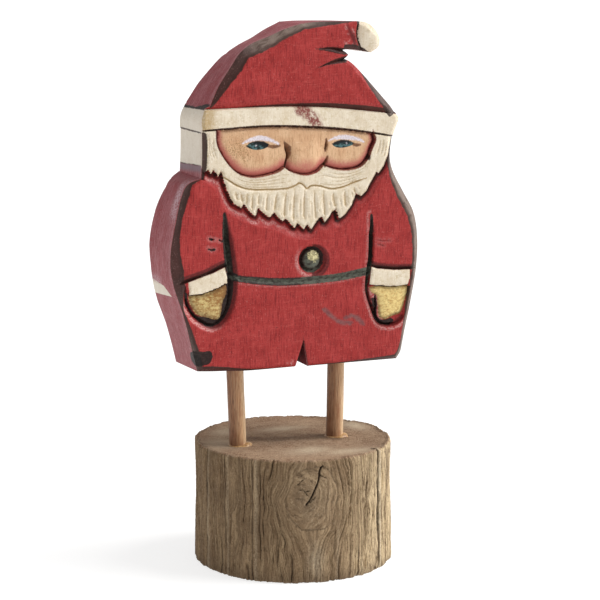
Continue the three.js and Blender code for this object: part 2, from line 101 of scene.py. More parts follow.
# The outline's strokes, clockwise as seen from the front. bevel is the width of the worn chamfer, flare is
# how far the sawn side leans out towards the back, stain is how wide the dark paint along the edge is, and
# tone is its colour from red-brown at 0 to grey at 1, all spread evenly over the stroke's own points.
OUTLINE = [
    {"bevel": [1.4, 1.5, 1, 0.25, 1.9, 2.7, 2.1, 1.3, 1.1, 1.45, 1.7, 1.6, 1.3, 0.9, 0.5],
     "flare": [0.5, 0.5, 1, 1.1, 0.4, -0.6, -0.7, 0.5],
     "stain": [1.5, 1.6, 1.1, 0.5, 2.7, 3, 2.2, 1.45, 1.2, 1.5, 1.6, 1.3, 0.8, 0.3, 0],
     "tone": [0.45, 0.5, 0.45, 0.4, 0.2, 0.15, 0.15, 0.2, 0.35, 0.4, 0.35, 0.35, 0.3, 0.3, 0.2],
     "points": [[-31.4, 0.9], [-34.2, 12.3], [-37.9, 25.4], [-38.8, 35.7], [-37.1, 46], [-35.1, 52.6],
                [-33.2, 55.3], [-29.7, 56.5]]},
    {"bevel": [1.4], "flare": [0.4, 0.4, 0.3], "stain": [0.6, 1.1, 1.2, 1.2, 1], "tone": [0.1],
     "points": [[-29.7, 56.5], [-29.4, 62.7], [-29.4, 69.8]]},
    {"bevel": [0.6, 0.4], "flare": [0.3, -0.2, -0.6, 0.1], "stain": [-0.5], "tone": [0.1],
     "points": [[-29.4, 69.8], [-29.6, 73], [-28.7, 75.9], [-27.2, 76.8]]},
    {"bevel": [0.4, 1.8, 2.6, 2.3, 3.1, 2.8, 2.2, 1.5], "flare": [0.3, 0.1, -0.5, -1.8, -1.5, -1.1, -0.65, 0],
     "stain": [0.6, 1.8, 2.5, 2.3, 3, 2.8, 2.2, 1.6], "tone": [0.1, 0.15, 0.25, 0.35, 0.6, 0.7, 0.75, 0.75],
     "points": [[-27.2, 76.8], [-24.1, 82.3], [-19.8, 88.2], [-17.2, 91.8], [-13.4, 94.2], [-8.7, 96],
                [-4, 98], [1, 99.5]]},
    {"bevel": [1.5, 1.6, 0.3], "flare": [0, -0.3, -0.5], "stain": [1.6, 1.6, 1, -0.3],
     "tone": [0.75, 0.5, 0.2], "points": [[1, 99.5], [6.5, 100], [17.9, 100]]},
    {"bevel": [1.7], "flare": [-0.5, 0, 0], "stain": [-0.5], "tone": [0.2],
     "points": [[17.9, 100], [21, 99.6], [23.2, 98.3], [24.7, 96.5], [25.5, 94.5], [25, 92.4], [22.6, 90.9]]},
    {"bevel": [1.4, 0.9], "flare": [0], "stain": [-0.5, 1.1, 1.5, 1.6], "tone": [0.2],
     "points": [[22.6, 90.9], [19.4, 91.5], [16.2, 92], [13.4, 91.9]]},
    {"straight": True, "bevel": [0.4], "flare": [0], "stain": [0.4, 0.2], "tone": [0],
     "points": [[13.4, 91.9], [15.1, 90.5], [13.9, 89.3]]},
    {"bevel": [0.8, 1.3, 2.3], "flare": [0], "stain": [0, -0.3, -0.3, 0.2, 1.1, 2, 2.7, 2.7],
     "tone": [0, 0.2, 0.5, 0.5],
     "points": [[13.9, 89.3], [15.4, 88.7], [17.2, 87.4], [19.7, 85], [21.7, 83], [25.8, 78.7], [29.2, 75.1],
                [30.5, 73.3]]},
    {"bevel": [1.3], "flare": [0], "stain": [-0.5], "tone": [0.2],
     "points": [[30.5, 73.3], [31.5, 71.5], [30.8, 69.4], [29.6, 66.3]]},
    {"bevel": [1.8, 1.3], "flare": [0], "stain": [0.2, 1, 2.1, 3, 2.9, 2.4, 2.1, 1.8, 1.5, 1.4, 1.7, 1.7],
     "tone": [0.6, 0.8, 0.95, 1, 1, 1, 0.95, 0.9, 0.85, 0.8, 0.7, 0.6],
     "points": [[29.6, 66.3], [29, 60.5], [30.1, 55.9], [33.2, 50.2], [36.8, 43.6], [38.1, 35.7],
                [37.7, 26.5], [35.8, 16], [34.2, 8.9], [33.4, 4.9], [32.7, 2], [31.3, 0]]},
    {"straight": True, "bevel": [1.1, 0.8], "flare": [0], "stain": [1.5, 1, 0.5, 0.3, 0.2],
     "tone": [0.5, 0.3], "points": [[31.3, 0], [2.5, 0]]},
    {"straight": True, "bevel": [0.3], "flare": [0], "stain": [0.1], "tone": [0],
     "points": [[2.5, 0], [1.1, 7.8], [-1.5, 0.1]]},
    {"bevel": [0.9, 1.4], "flare": [0], "stain": [-0.1, 0.6, 1.4, 1.7, 1.6], "tone": [0.1],
     "points": [[-1.5, 0.1], [-15.5, 0], [-22.8, 0.4], [-27.2, 0.6], [-31.4, 0.9]]},
]

# The carved lines of the front. Lines run from left to right, or down and round.
BAND_TOP = [[-28.6, 76], [-22.7, 76.1], [-7.6, 76.2], [7.6, 75.6], [23.2, 73.9], [31.4, 72.8]]
BAND_LOW = [[-30.8, 69.9], [-24.3, 70.3], [-9.2, 70.8], [7.6, 69.8], [18.9, 68.4], [30.8, 66.3]]
LEFT_CHEEK = [[-25.6, 70.3], [-25.5, 66.5], [-24.2, 63.4], [-21.7, 59.9], [-18.6, 57.3], [-14.6, 56.2],
              [-10.2, 56.6], [-6.6, 57.5], [-4.8, 58.7]]
NOSE_FOOT = [[-4.8, 58.7], [-2.6, 57.3], [1.5, 56.2], [5.2, 56.9], [7.4, 58.8]]
RIGHT_CHEEK = [[7.4, 58.8], [10.6, 57.6], [14.6, 57.1], [19, 57.9], [21.6, 60.4], [22.9, 63.4], [23.9, 65.8],
               [22.9, 68.6]]
MUSTACHE = [[-24.9, 57.6], [-22.4, 56.2], [-19.2, 54.2], [-15.6, 53], [-9.5, 52.6], [-4.3, 52.7],
            [-1.6, 53.4], [-0.3, 54.1], [1, 53.6], [2.2, 52.4], [3.4, 53.1], [6.1, 53], [9.9, 52],
            [13.6, 52.4], [17.2, 53.6], [20.9, 54.6]]
BEARD_EDGE = [[-30.2, 59.7], [-29, 58.4], [-28, 59], [-27.2, 57.8], [-26.4, 58.9], [-25, 56.9], [-24.2, 58.4],
              [-23.6, 56.6], [-22.3, 52.8], [-21.2, 50.3], [-20.2, 48.9], [-18, 47.6], [-17.3, 48.9],
              [-16.3, 47.4], [-13.9, 44.9], [-13.4, 45.8], [-13, 47.5], [-11.4, 45.9], [-9.4, 44.4],
              [-8, 45.9], [-6.6, 44.2], [-5.4, 43.2], [-4.4, 43.9], [-3, 42.4], [-1.6, 41], [-0.8, 42.3],
              [0.4, 41.4], [1.3, 40.5], [2.2, 41.9], [3.5, 40.2], [4.7, 41.9], [6.1, 43.6], [6.9, 43.9],
              [7.8, 42.1], [9.2, 43.7], [10.1, 45.2], [11.3, 45.8], [12.3, 42.9], [14.4, 44.4], [16.4, 47],
              [17.7, 50.2], [19.2, 49.2], [21, 50.8], [22.6, 53.7], [24.1, 56.1], [24.9, 55.9], [26.4, 57.8],
              [27.8, 60.9], [29.8, 63.2]]
BEARD_RIM = [[-31.1, 57.8], [-28.6, 55.4], [-26.2, 53.3], [-24, 48.9], [-21.3, 45.7], [-15.1, 42.8],
             [-7.6, 40.5], [-2.5, 38.2], [3.2, 37.3], [7.9, 39.8], [14.1, 40.8], [18.6, 44.1], [22.2, 48.4],
             [25.6, 53.8], [28.6, 57.6], [31.4, 61.3]]
BEARD_STRANDS = [
    [[-19.8, 52.4], [-19.2, 50]], [[-18.3, 52.3], [-17.6, 49.3]], [[-16.3, 51.8], [-16.4, 48.6]],
    [[-14.6, 51.6], [-14.8, 47]], [[-12.6, 51.6], [-12.8, 48.4]], [[-10, 51.4], [-10.4, 46.4]],
    [[-7.1, 51.6], [-7.9, 46.4]], [[-4.3, 51.6], [-5, 44.4]], [[-1.7, 52.4], [-2, 43]],
    [[1.4, 52], [1.3, 43.6]], [[4.4, 51.8], [5, 43]], [[7.3, 51.6], [7.9, 43.8]],
    [[10.3, 51.2], [11.1, 46.4]], [[14, 51.6], [14.4, 46.4]], [[17, 52], [17.3, 50.6]],
]
# Pairs of lines that fine strands of hair run between: the mustache's two lobes and the hair at both temples.
HAIR_PAIRS = [
    [[[-23.6, 61.8], [-21.7, 59.2], [-18.6, 56.8], [-14.6, 55.8], [-10.2, 56.1], [-6.6, 57], [-3.4, 57.2],
      [-1.2, 56]],
     [[-24.6, 58.2], [-22.2, 56.4], [-19.2, 54.6], [-15.6, 53.3], [-9.5, 52.9], [-4.3, 53], [-1.6, 53.6],
      [-0.5, 54.4]]],
    [[[23.4, 63.6], [21.6, 60], [19, 57.4], [14.6, 56.5], [10.6, 57], [7.4, 57.8], [4.6, 56.4], [1.4, 55.8]],
     [[22.4, 57.2], [20.9, 55], [17.2, 54], [13.6, 52.8], [9.9, 52.4], [6.1, 53.3], [3.4, 53.4], [1.6, 54]]],
    [[[-28.6, 69.4], [-28.6, 64], [-27.8, 60]], [[-26.1, 69.4], [-26.1, 65.5], [-24.9, 62], [-23, 58.8]]],
    [[[28.8, 66], [28.6, 62], [27.2, 58.8]], [[24.2, 67.4], [24.6, 65], [23.6, 61.6], [21.8, 58]]],
]
LEFT_ARM = [[-23.3, 46.2], [-22.8, 41], [-22.2, 35.4], [-21.5, 29.4], [-21.4, 24], [-22.3, 19], [-24.4, 15.4],
            [-27.1, 14.2], [-30.6, 15.8], [-33.4, 18.6], [-35, 22.7], [-35.3, 26]]
RIGHT_ARM = [[22.5, 43.6], [22.6, 37.8], [22.4, 31], [21.6, 25.2], [21.6, 20.9], [23, 16.4], [24.9, 12],
             [27.6, 10.7], [30.8, 11], [33, 12.6]]
LEFT_CUFF_TOP = [[-36.5, 26.7], [-33, 27.7], [-28.5, 28.9], [-25.1, 30.3], [-22.7, 31.2]]
RIGHT_CUFF_TOP = [[22.2, 28.5], [24.6, 27.8], [30, 27.1], [37.8, 26.9]]
LEFT_CUFF = [[-34.3, 27.1], [-30.9, 28.2], [-26.6, 29.4], [-23.2, 30.8], [-22.5, 28.6], [-22.3, 26.1],
             [-25.5, 24.7], [-29.7, 23.4], [-34, 23.2]]
RIGHT_CUFF = [[22.7, 28.3], [24.4, 27.7], [30, 26.9], [35.2, 26.8], [35.2, 24.4], [34.6, 22.3], [30.2, 21.9],
              [25, 22.4], [22.1, 23.1]]
LEFT_MITTEN = [[-34, 23.2], [-33.6, 20.9], [-31.8, 17.8], [-29, 16.6], [-25.8, 15.5], [-24.3, 16.4],
               [-23.6, 20.2], [-22.5, 22.8], [-22.6, 25.8], [-25.5, 24.7], [-29.7, 23.4]]
RIGHT_MITTEN = [[22.4, 22], [23.2, 20.4], [24.8, 19.4], [25.2, 16], [25.6, 13], [27.4, 12.1], [30.4, 13.1],
                [32.6, 13.8], [34, 17.4], [34.8, 21.8], [30.2, 21.9], [25, 22.4]]
HOLLOWS = [
    [[-21.2, 31.4], [-21, 27.4], [-21.1, 23], [-21.9, 19], [-23.7, 15.4], [-27.1, 13.7], [-31, 15.2],
     [-34, 18.3], [-35.7, 22.4], [-35.3, 25.4], [-34.2, 24.4], [-29.7, 24.4], [-23.2, 27], [-22.9, 30.9]],
    [[21.5, 28.6], [20.9, 25], [20.9, 21], [22.3, 16.4], [24.4, 11.9], [27.5, 10.1], [30.9, 10.4],
     [33, 12.1], [34.2, 15.4], [34.9, 21.4], [30, 22.6], [23.6, 23.6], [23, 28.2]],
]
THUMB_SLOT = [[24.3, 19.9], [24.5, 17], [24.4, 13.6], [25.6, 11.6]]
LEFT_NOSE_CUT = [[-4.9, 66], [-4.2, 64.2], [-3.7, 62.2], [-4, 60.2], [-4.2, 58.4]]
RIGHT_NOSE_CUTS = [[[8.3, 66.4], [8.4, 64.8], [8, 63]], [[8.7, 61.4], [8.4, 60], [7.7, 58.6]]]
BELT = [[-21, 27.7], [-15.6, 26.7], [-6.4, 25.6], [3.2, 25.5], [11.5, 25.8], [16.3, 26.4], [21.4, 27.2]]
BUTTON = [3.7, 31.5]
FOLDS = [[[4.6, 92.4], [9.7, 92.4], [13.8, 91.6]], [[4.6, 86.6], [9.2, 88.2], [14, 89.2]]]
POM_GROOVE = [[18.9, 100.4], [18.1, 98.2], [18.1, 95.6], [18.9, 93.1], [20.3, 90.8]]
NICKS = [[[-28, 39.5], [-27.2, 39], [-26.3, 39.1]], [[-28.1, 36.5], [-27.2, 36.1], [-26.3, 36.2]],
         [[-25.1, 38.8], [-24.2, 38.5]]]
FAINT_NICKS = [[[24.2, 36.3], [26.2, 35.7], [28.6, 35.9]], [[24.2, 35], [26.6, 34.4]]]

# What is only painted, in the same drawing.
EYES = [
    [[-16.4, 65.2], [-14.8, 66], [-12.9, 66.3], [-11, 66.1], [-9.6, 65.5], [-10, 64.7], [-11.5, 64.2],
     [-13.5, 64.1], [-15.2, 64.5]],
    [[10.2, 64.9], [11.6, 65.4], [13.8, 65.7], [15.7, 65.4], [17, 64.8], [15.8, 64.1], [13.8, 63.7],
     [11.9, 63.8], [10.7, 64.3]],
]
GLINTS = [[-13.3, 65.3], [14.8, 64.9]]
GLINT_SIZES = [0.27, 0.25]
# The dark upper part of each eye: its middle, the height where it is darkest, and its slope.
EYE_SHADES = [[-13, 66.1, 0.35], [13.4, 65.5, -0.12]]
BROWS = [
    [[-17.6, 66], [-15.4, 66.9], [-12.4, 67.4], [-9.8, 67], [-8, 66.3], [-6.6, 65.6]],
    [[9.2, 65.9], [10.7, 66.5], [12.9, 66.8], [15.4, 66.6], [17.6, 66.2], [19.2, 65.7], [20, 65.1]],
]
# The widths of the painted shade along the inside of the cheeks' lower border, from its left end to its right
# end.
CHEEK_LINE = [1.1, 0.8, 0.7, 0.5, 0.4, 0.35, 0.3, 0.25, 0.3, 0.35, 0.5, 0.6, 0.8, 1.2, 1.3]  # its widths
LASHES = [[[-9.9, 65.1], [-8, 64.8], [-6.1, 65]], [[16.6, 64.7], [17.9, 64.3], [19, 64.4]]]
SMUDGES = [[[7.6, 16.5], [10.1, 14.2], [12.6, 12.5], [15.9, 11.9]],
           [[14.2, 13.6], [16.4, 14.1], [18.6, 12.9], [20, 11.6]]]
BAND_SMEAR = [[0.2, 75.3], [1.8, 74.4], [3.8, 72.6], [5.2, 71]]
WRISTS = [[[-34, 23.2], [-29.7, 23.4], [-25.5, 24.7], [-22.3, 26.1]],
          [[22.1, 22.8], [25, 22.4], [30.2, 21.9], [34.6, 22.1]]]
NOTCH_TIP = [[0.2, 0], [1.1, 9.4]]
NOTCH_SLIT = [[-0.4, -0.5], [0.9, 6]]
HAT_TIP = [[5, 92.2], [9.7, 92], [13.8, 91.4]]
HAT_END = [[14.6, 99.6], [15.2, 97.6], [16.4, 95.6], [17, 93.4]]
TAR_SPOT = [[-35.4, 4.4], [-34.2, 6.3], [-32.6, 6.8], [-31, 7], [-29.3, 6.9], [-27.9, 6.6], [-27.3, 5.3],
            [-27.6, 3.9], [-28.8, 3], [-31, 2.5], [-33.4, 2.8]]


def smooth(points, gap=0.35, steps=None):
    """A smooth line through drawn points, as points about gap apart or as steps points to each stretch."""
    p = np.array(points, float)
    rows = []
    for i in range(len(p) - 1):
        start, end = p[i], p[i + 1]
        leaving = (end - p[max(i - 1, 0)]) / 2
        arriving = (p[min(i + 2, len(p) - 1)] - start) / 2
        count = steps or max(2, math.ceil(np.hypot(*(end - start)) / gap))
        t = (np.arange(count) / count)[:, None]
        cubic = (2 * start - 2 * end + leaving + arriving) * t**3
        square = (3 * end - 3 * start - 2 * leaving - arriving) * t**2
        rows.append(cubic + square + leaving * t + start)
    return np.vstack([*rows, p[-1:]])


def straight(points, gap=0.35, steps=None):
    """Straight lines between drawn points, as points about gap apart or as steps points to each stretch."""
    p = np.array(points, float)
    rows = []
    for start, end in zip(p[:-1], p[1:]):
        count = steps or max(1, math.ceil(np.hypot(*(end - start)) / gap))
        rows.append(start + (end - start) * (np.arange(count) / count)[:, None])
    return np.vstack([*rows, p[-1:]])


def closed(line):
    """The line with its first point again at its end."""
    return np.vstack([line, line[:1]])


def nearest(places, line, reach=9.0):
    """For each place: how far it is from the line, up to reach, the side it lies on (1 is the line's left)
    and the share of the line's length at the nearest point."""
    distance = np.full(len(places), float(reach))
    side = np.ones(len(places))
    share = np.zeros(len(places))
    low, high = line.min(0) - reach, line.max(0) + reach
    close = np.flatnonzero(((places > low) & (places < high)).all(1))
    q = places[close]
    best, sides, shares = distance[close], side[close], share[close]
    steps = np.diff(line, axis=0)
    lengths = most(np.hypot(steps[:, 0], steps[:, 1]), 1e-9)
    starts = np.concatenate([[0], np.cumsum(lengths)])
    for a, step, length, start in zip(line, steps, lengths, starts):
        offset = q - a
        t = np.clip(offset @ step / length**2, 0, 1)
        gap = offset - t[:, None] * step
        gap = np.hypot(gap[:, 0], gap[:, 1])
        closer = gap < best
        best[closer] = gap[closer]
        cross = step[0] * offset[closer, 1] - step[1] * offset[closer, 0]
        sides[closer] = np.where(cross < 0, -1, 1)
        shares[closer] = (start + t[closer] * length) / starts[-1]
    distance[close], side[close], share[close] = best, sides, shares
    return distance, side, share


def apart(places, point):
    """How far each place is from a point."""
    return np.hypot(*(places - point).T)


def inside(places, ring):
    """Which places lie inside a closed ring."""
    hit = np.zeros(len(places), bool)
    x, z = places[:, 0], places[:, 1]
    for (x0, z0), (x1, z1) in zip(ring, np.roll(ring, -1, axis=0)):
        crosses = np.flatnonzero((z0 > z) != (z1 > z))
        at = (x1 - x0) * (z[crosses] - z0) / (z1 - z0 if z1 != z0 else 1) + x0
        hit[crosses] ^= x[crosses] < at
    return hit


def depth_inside(places, ring):
    """How far each place lies inside a closed ring, less than 0 outside it."""
    distance = nearest(places, closed(ring))[0]
    return np.where(inside(places, ring), distance, -distance)


def ease(value, low, high):
    """0 up to low, 1 from high on, and soft between."""
    t = np.clip((value - low) / (high - low), 0, 1)
    return t * t * (3 - 2 * t)


def fall(value, low, high):
    """1 up to low, 0 from high on, and soft between."""
    return 1 - ease(value, low, high)


def hill(value, foot, top, end, far_foot):
    """0 up to foot, 1 from top to end, 0 from far_foot on, and soft between."""
    return ease(value, foot, top) * fall(value, end, far_foot)


def bell(*offsets):
    """1 where all offsets are 0, falling softly to nearly 0 where one reaches 2."""
    return np.exp(-sum(offset**2 for offset in offsets))


def most(*values):
    """The greatest of several values at each place."""
    return reduce(np.maximum, values)


def least(*values):
    """The smallest of several values at each place."""
    return reduce(np.minimum, values)


def rough(places, size, seed, octaves=2):
    """Soft random values, mostly from -1 to 1, whose bumps are about size wide (one number for each axis)."""
    table = np.random.default_rng(seed).uniform(-1, 1, (97, 89))
    total = np.zeros(len(places))
    for octave in range(octaves):
        q = places / np.array(size) * 2**octave + 31.7 * octave
        cell = np.floor(q).astype(int)
        f = q - cell
        f = f * f * (3 - 2 * f)
        corners = [table[(cell[:, 0] + i) % 97, (cell[:, 1] + j) % 89] for i in (0, 1) for j in (0, 1)]
        low = corners[0] * (1 - f[:, 1]) + corners[1] * f[:, 1]
        high = corners[2] * (1 - f[:, 1]) + corners[3] * f[:, 1]
        total += (low * (1 - f[:, 0]) + high * f[:, 0]) / 2**octave
    return total


def spread(values, share):
    """Values spread evenly along a stroke, read at shares of it."""
    return np.interp(share, np.linspace(0, 1, len(values)), values)


EDGE_VALUES = ("bevel", "flare", "stain", "tone")


def outline_rows(gap=0.42):
    """The outline as rows of x, z and its edge's values, about gap apart and with every stroke's start."""
    rows = []
    for stroke in OUTLINE:
        line = (straight if stroke.get("straight") else smooth)(stroke["points"], steps=24)
        run = np.concatenate([[0], np.cumsum(np.hypot(*np.diff(line, axis=0).T))])
        at = np.linspace(0, run[-1], max(2, round(run[-1] / gap)) + 1)[:-1]
        share = np.interp(at, run, np.linspace(0, 1, len(line)))
        columns = [np.interp(at, run, line[:, 0]), np.interp(at, run, line[:, 1])]
        rows.append(np.column_stack([*columns, *(spread(stroke[name], share) for name in EDGE_VALUES)]))
    return np.vstack(rows)


def outward(ring):
    """The direction out of a clockwise ring at each of its points, longer at corners as a mitre is."""
    incoming = ring - np.roll(ring, 1, axis=0)
    outgoing = np.roll(ring, -1, axis=0) - ring
    incoming /= np.hypot(*incoming.T)[:, None]
    outgoing /= np.hypot(*outgoing.T)[:, None]
    middle = incoming + outgoing
    middle /= most(np.hypot(*middle.T), 1e-6)[:, None]
    mitre = least(1.4, 1 / most(0.5, (middle * outgoing).sum(1)))
    return np.column_stack([-middle[:, 1], middle[:, 0]]) * mitre[:, None]


def beside(line, width):
    """A line's copy, width to its left."""
    along = np.gradient(line, axis=0)
    along /= most(np.hypot(*along.T), 1e-9)[:, None]
    return line + np.column_stack([-along[:, 1], along[:, 0]]) * width


def cut(points, left, right, depth, taper=(0.2, 0.2)):
    """A V-shaped cut: its line, its walls' widths, its depth and the shares over which its ends fade."""
    return {"line": smooth(points), "left": left, "right": right, "depth": depth, "taper": taper}


def fine_strands():
    """Fine cuts in the hair: along each pair of lines, and down the beard to its ragged edge."""
    random = np.random.default_rng(7)
    strands = []
    for number, pair in enumerate(HAIR_PAIRS):
        one, other = (smooth(line, steps=12) for line in pair)
        picks = [np.linspace(0, len(line) - 1, 25).round().astype(int) for line in (one, other)]
        for share in np.arange(0.14, 0.95, 0.25 if number < 2 else 0.24):
            line = one[picks[0]] * (1 - share) + other[picks[1]] * share
            first, last = random.integers(0, 7), random.integers(17, 25)
            strands.append(cut(line[first:last:3], 0.45, 0.45, 0.6, (0.3, 0.3)))
    tips = straight(BEARD_EDGE, 0.1)
    for x in np.arange(-19.4, 18.6, 1.15):
        low = tips[np.abs(tips[:, 0] - x) < 0.25][:, 1].min() + random.uniform(0.5, 2.2)
        high = random.uniform(low + 1.2, max(low + 1.3, 52.1))
        lean = 0.03 * (x - 1)
        middle = [x + random.uniform(-0.3, 0.3), (low + high) / 2]
        strands.append(cut([[x - lean, high], middle, [x + lean, low]], 0.38, 0.38, 0.5, (0.4, 0.4)))
    return strands


OPEN_ENDS = (0, 0)
NEARLY_FULL = (0.06, 0.06)
BAND_CUTS = [cut(BAND_TOP, 2, 0.4, EDGE_DEPTH, OPEN_ENDS), cut(BAND_LOW, 0.4, 0.5, LINE_DEPTH, OPEN_ENDS)]
MUSTACHE_CUT = cut(MUSTACHE, 0.42, 0.75, 0.75 * LINE_DEPTH, NEARLY_FULL)
ARM_CUTS = [cut(LEFT_ARM, 2.1, 1.1, ARM_GROOVE, (0.14, 0.1)), cut(RIGHT_ARM, 1, 1, ARM_GROOVE, (0.14, 0.1))]
CUFF_CUTS = [cut(LEFT_CUFF_TOP, 1.5, 0.3, EDGE_DEPTH, OPEN_ENDS),
             cut(RIGHT_CUFF_TOP, 1.3, 0.3, EDGE_DEPTH, OPEN_ENDS)]
BELT_CUT = cut(BELT, 1.1, 1.1, BELT_DEPTH, NEARLY_FULL)
POM_CUT = cut(POM_GROOVE, 0.6, 0.9, EDGE_DEPTH, OPEN_ENDS)
FOLD_CUTS = [cut(FOLDS[0], 0.9, 0.9, FOLD_DEPTH, (0.8, 0)), cut(FOLDS[1], 1, 1, FOLD_DEPTH, (0.9, 0))]
NICK_CUTS = [cut(nick, 0.6, 0.6, NICK_DEPTH) for nick in NICKS]
FAINT_NICK_CUTS = [cut(nick, 0.35, 0.35, NICK_DEPTH * 0.5) for nick in FAINT_NICKS]
THUMB_CUT = cut(THUMB_SLOT, 0.6, 0.6, ARM_GROOVE, (0.1, 0))
NOSE_CUTS = [cut(LEFT_NOSE_CUT, 1.3, 0.7, 3.2, (0.25, 0)),
             *(cut(line, 0.7, 0.7, 1.8, (0.4, 0.1)) for line in RIGHT_NOSE_CUTS)]
STRAND_CUTS = [cut(strand, 0.9, 0.9, 0.95, (0.3, 0.1)) for strand in BEARD_STRANDS]
FINE_CUTS = fine_strands()
PLAIN_CUTS = [*BAND_CUTS, MUSTACHE_CUT, *ARM_CUTS, *CUFF_CUTS, BELT_CUT, POM_CUT, *FOLD_CUTS, *NICK_CUTS,
              *FAINT_NICK_CUTS, THUMB_CUT]

# The regions of the front, as closed rings, and the lines that they share.
RIM = outline_rows()
RIM_LINE = closed(RIM[:, :2])
BEARD_LINE = straight(BEARD_EDGE, 0.3)
BAND_TOP_LINE, BAND_LOW_LINE = BAND_CUTS[0]["line"], BAND_CUTS[1]["line"]
BAND_RING = np.vstack([BAND_TOP_LINE, [[34, 72.6], [34, 66]],
                       BAND_LOW_LINE[::-1], [[-34, 69.7], [-34, 75.8]]])
FACE_TOP = np.array([p for p in BAND_LOW_LINE if -25.6 < p[0] < 22.9])
FACE_LOW = np.vstack([smooth(LEFT_CHEEK), smooth(NOSE_FOOT)[1:], smooth(RIGHT_CHEEK)[1:]])
FACE_RING = np.vstack([FACE_LOW, FACE_TOP[::-1]])
WHISKER_RING = np.vstack([BEARD_LINE, [[34, 63.2], [34, 66]],
                          BAND_LOW_LINE[::-1], [[-34, 69.7], [-34, 59.7]]])
RECESS_RING = np.vstack([smooth(BEARD_RIM), [[34, 63], [0, 66], [-34, 59]]])
POM_RING = np.vstack([smooth(POM_GROOVE), [[30, 90], [30, 102], [17.8, 102]]])
CUFF_RINGS = [straight(LEFT_CUFF), straight(RIGHT_CUFF)]
MITTEN_RINGS = [smooth(LEFT_MITTEN), smooth(RIGHT_MITTEN)]
HOLLOW_RINGS = [smooth(HOLLOWS[0]), smooth(HOLLOWS[1])]
EYE_RINGS = [smooth(closed(np.array(eye)), 0.2)[:-1] for eye in EYES]

# One unit of the drawing in metres, and where its middle and its hem are in the part's frame.
UNIT = (figure_high.z - figure_low.z) / np.ptp(RIM[:, 1])
UNIT_MM = UNIT / MM
HEM_Z = figure_low.z - RIM[:, 1].min() * UNIT
MIDDLE_X = figure_high.x - RIM[:, 0].max() * UNIT


def cut_depth(places, c):
    """Depth of a V-shaped cut at each place, and how far into its wall the place is: 1 at its bottom."""
    distance, side, share = nearest(places, c["line"], max(c["left"], c["right"]) + 0.2)
    fade_in = share / c["taper"][0] if c["taper"][0] else 1
    fade_out = (1 - share) / c["taper"][1] if c["taper"][1] else 1
    size = np.clip(least(fade_in, fade_out), 0.12, 1)
    into = np.clip(1 - distance / (np.where(side > 0, c["left"], c["right"]) * size), 0, 1)
    return c["depth"] * size * into**1.1, into


def face_depth(read):
    """The face: a pocket whose cheeks and brow swell up from its border, and a nose that stands proud."""
    steep = 0.25  # the width of the pocket's wall
    top_gap, low_gap = read.brow_gap, read.cheek_gap
    floor = FACE_POCKET * ease(read.face, 0, steep)

    def swell(gap, width):
        u = np.clip((gap - steep) / width, 0, 1)
        return 1 - np.sqrt(1 - (1 - u) ** 2)

    sunk = CHEEK_SUNK + (FACE_POCKET - CHEEK_SUNK) * swell(low_gap, 3.4)
    brow = BROW_SUNK + (FACE_POCKET * 0.8 - BROW_SUNK) * swell(top_gap, 1.5)
    depth = least(floor, most(sunk, brow * ease(6 - top_gap, 3.6, 5.4)))
    x, z = read.places.T
    nose = sum(share * np.exp(-(((x - at) / wide) ** 4) - ((z - up) / high) ** 2)
               for at, wide, up, high, share in NOSE_MOUNDS)
    depth = depth - (CHEEK_SUNK + NOSE_PROUD) * np.clip(nose, 0, 1) * ease(low_gap, 0.2, 2.6)
    return depth + sum(share * bell((x - at) / wide, (z - up) / high)
                       for at, wide, up, high, share in EYE_HOLLOWS)


def brushed(places, points, widths, right_widths=None):
    """How far each place lies inside a brushed line, in millimetres. Its widths run along it, to its left and
    to its right."""
    gap, side, share = nearest(places, smooth(points), 3)
    width = np.where(side > 0, spread(widths, share), spread(right_widths or widths, share))
    return (width - gap) * UNIT_MM


def read_front(places):
    """Everything that the relief and the paint of the front need to know about places on it."""
    read = SimpleNamespace(places=places)
    read.rim, _, share = nearest(places, RIM_LINE, 12)
    run = np.concatenate([[0], np.cumsum(np.hypot(*np.diff(RIM_LINE, axis=0).T))])
    wrapped = closed(RIM)
    for column, name in enumerate(EDGE_VALUES):
        setattr(read, name, np.interp(share * run[-1], run, wrapped[:, column + 2]))
    read.face = depth_inside(places, FACE_RING)
    read.band = depth_inside(places, BAND_RING)
    read.whiskers = depth_inside(places, WHISKER_RING)
    read.pom = depth_inside(places, POM_RING)
    read.cuffs = most(*(depth_inside(places, ring) for ring in CUFF_RINGS))
    read.mittens = most(*(depth_inside(places, ring) for ring in MITTEN_RINGS))
    read.hollow_floor = most(*(depth_inside(places, ring) for ring in HOLLOW_RINGS))
    read.hollows = least(read.hollow_floor, -most(read.cuffs, read.mittens))
    read.beard_gap = nearest(places, BEARD_LINE, 6)[0]
    read.rim_gap = nearest(places, smooth(BEARD_RIM), 8)[0]
    read.in_recess = inside(places, RECESS_RING) & (read.whiskers < 0) & (read.band < 0)
    read.cheek_gap, _, read.cheek_share = nearest(places, FACE_LOW, 6)
    read.brow_gap = nearest(places, BAND_LOW_LINE, 6)[0]
    read.button = apart(places, BUTTON) * UNIT_MM
    read.waver = rough(places, (1.3, 1.3), 21)
    read.stroke = lambda points, widths, right=None: brushed(places, points, widths, right)
    read.locks, read.thread = np.zeros((2, len(places)))
    for c in (*STRAND_CUTS, *FINE_CUTS):
        depth, into = cut_depth(places, c)
        read.locks = most(read.locks, depth)
        read.thread = most(read.thread, ease(into, 0.25, 0.95) * 0.75)
    return read


ON_EDGE = -0.02


def shoulder(gap, width):
    """How far a dome lies below its top: 1 at its edge, 0 from width on."""
    return 1 - np.sqrt(np.clip(gap / width, 0, 1))


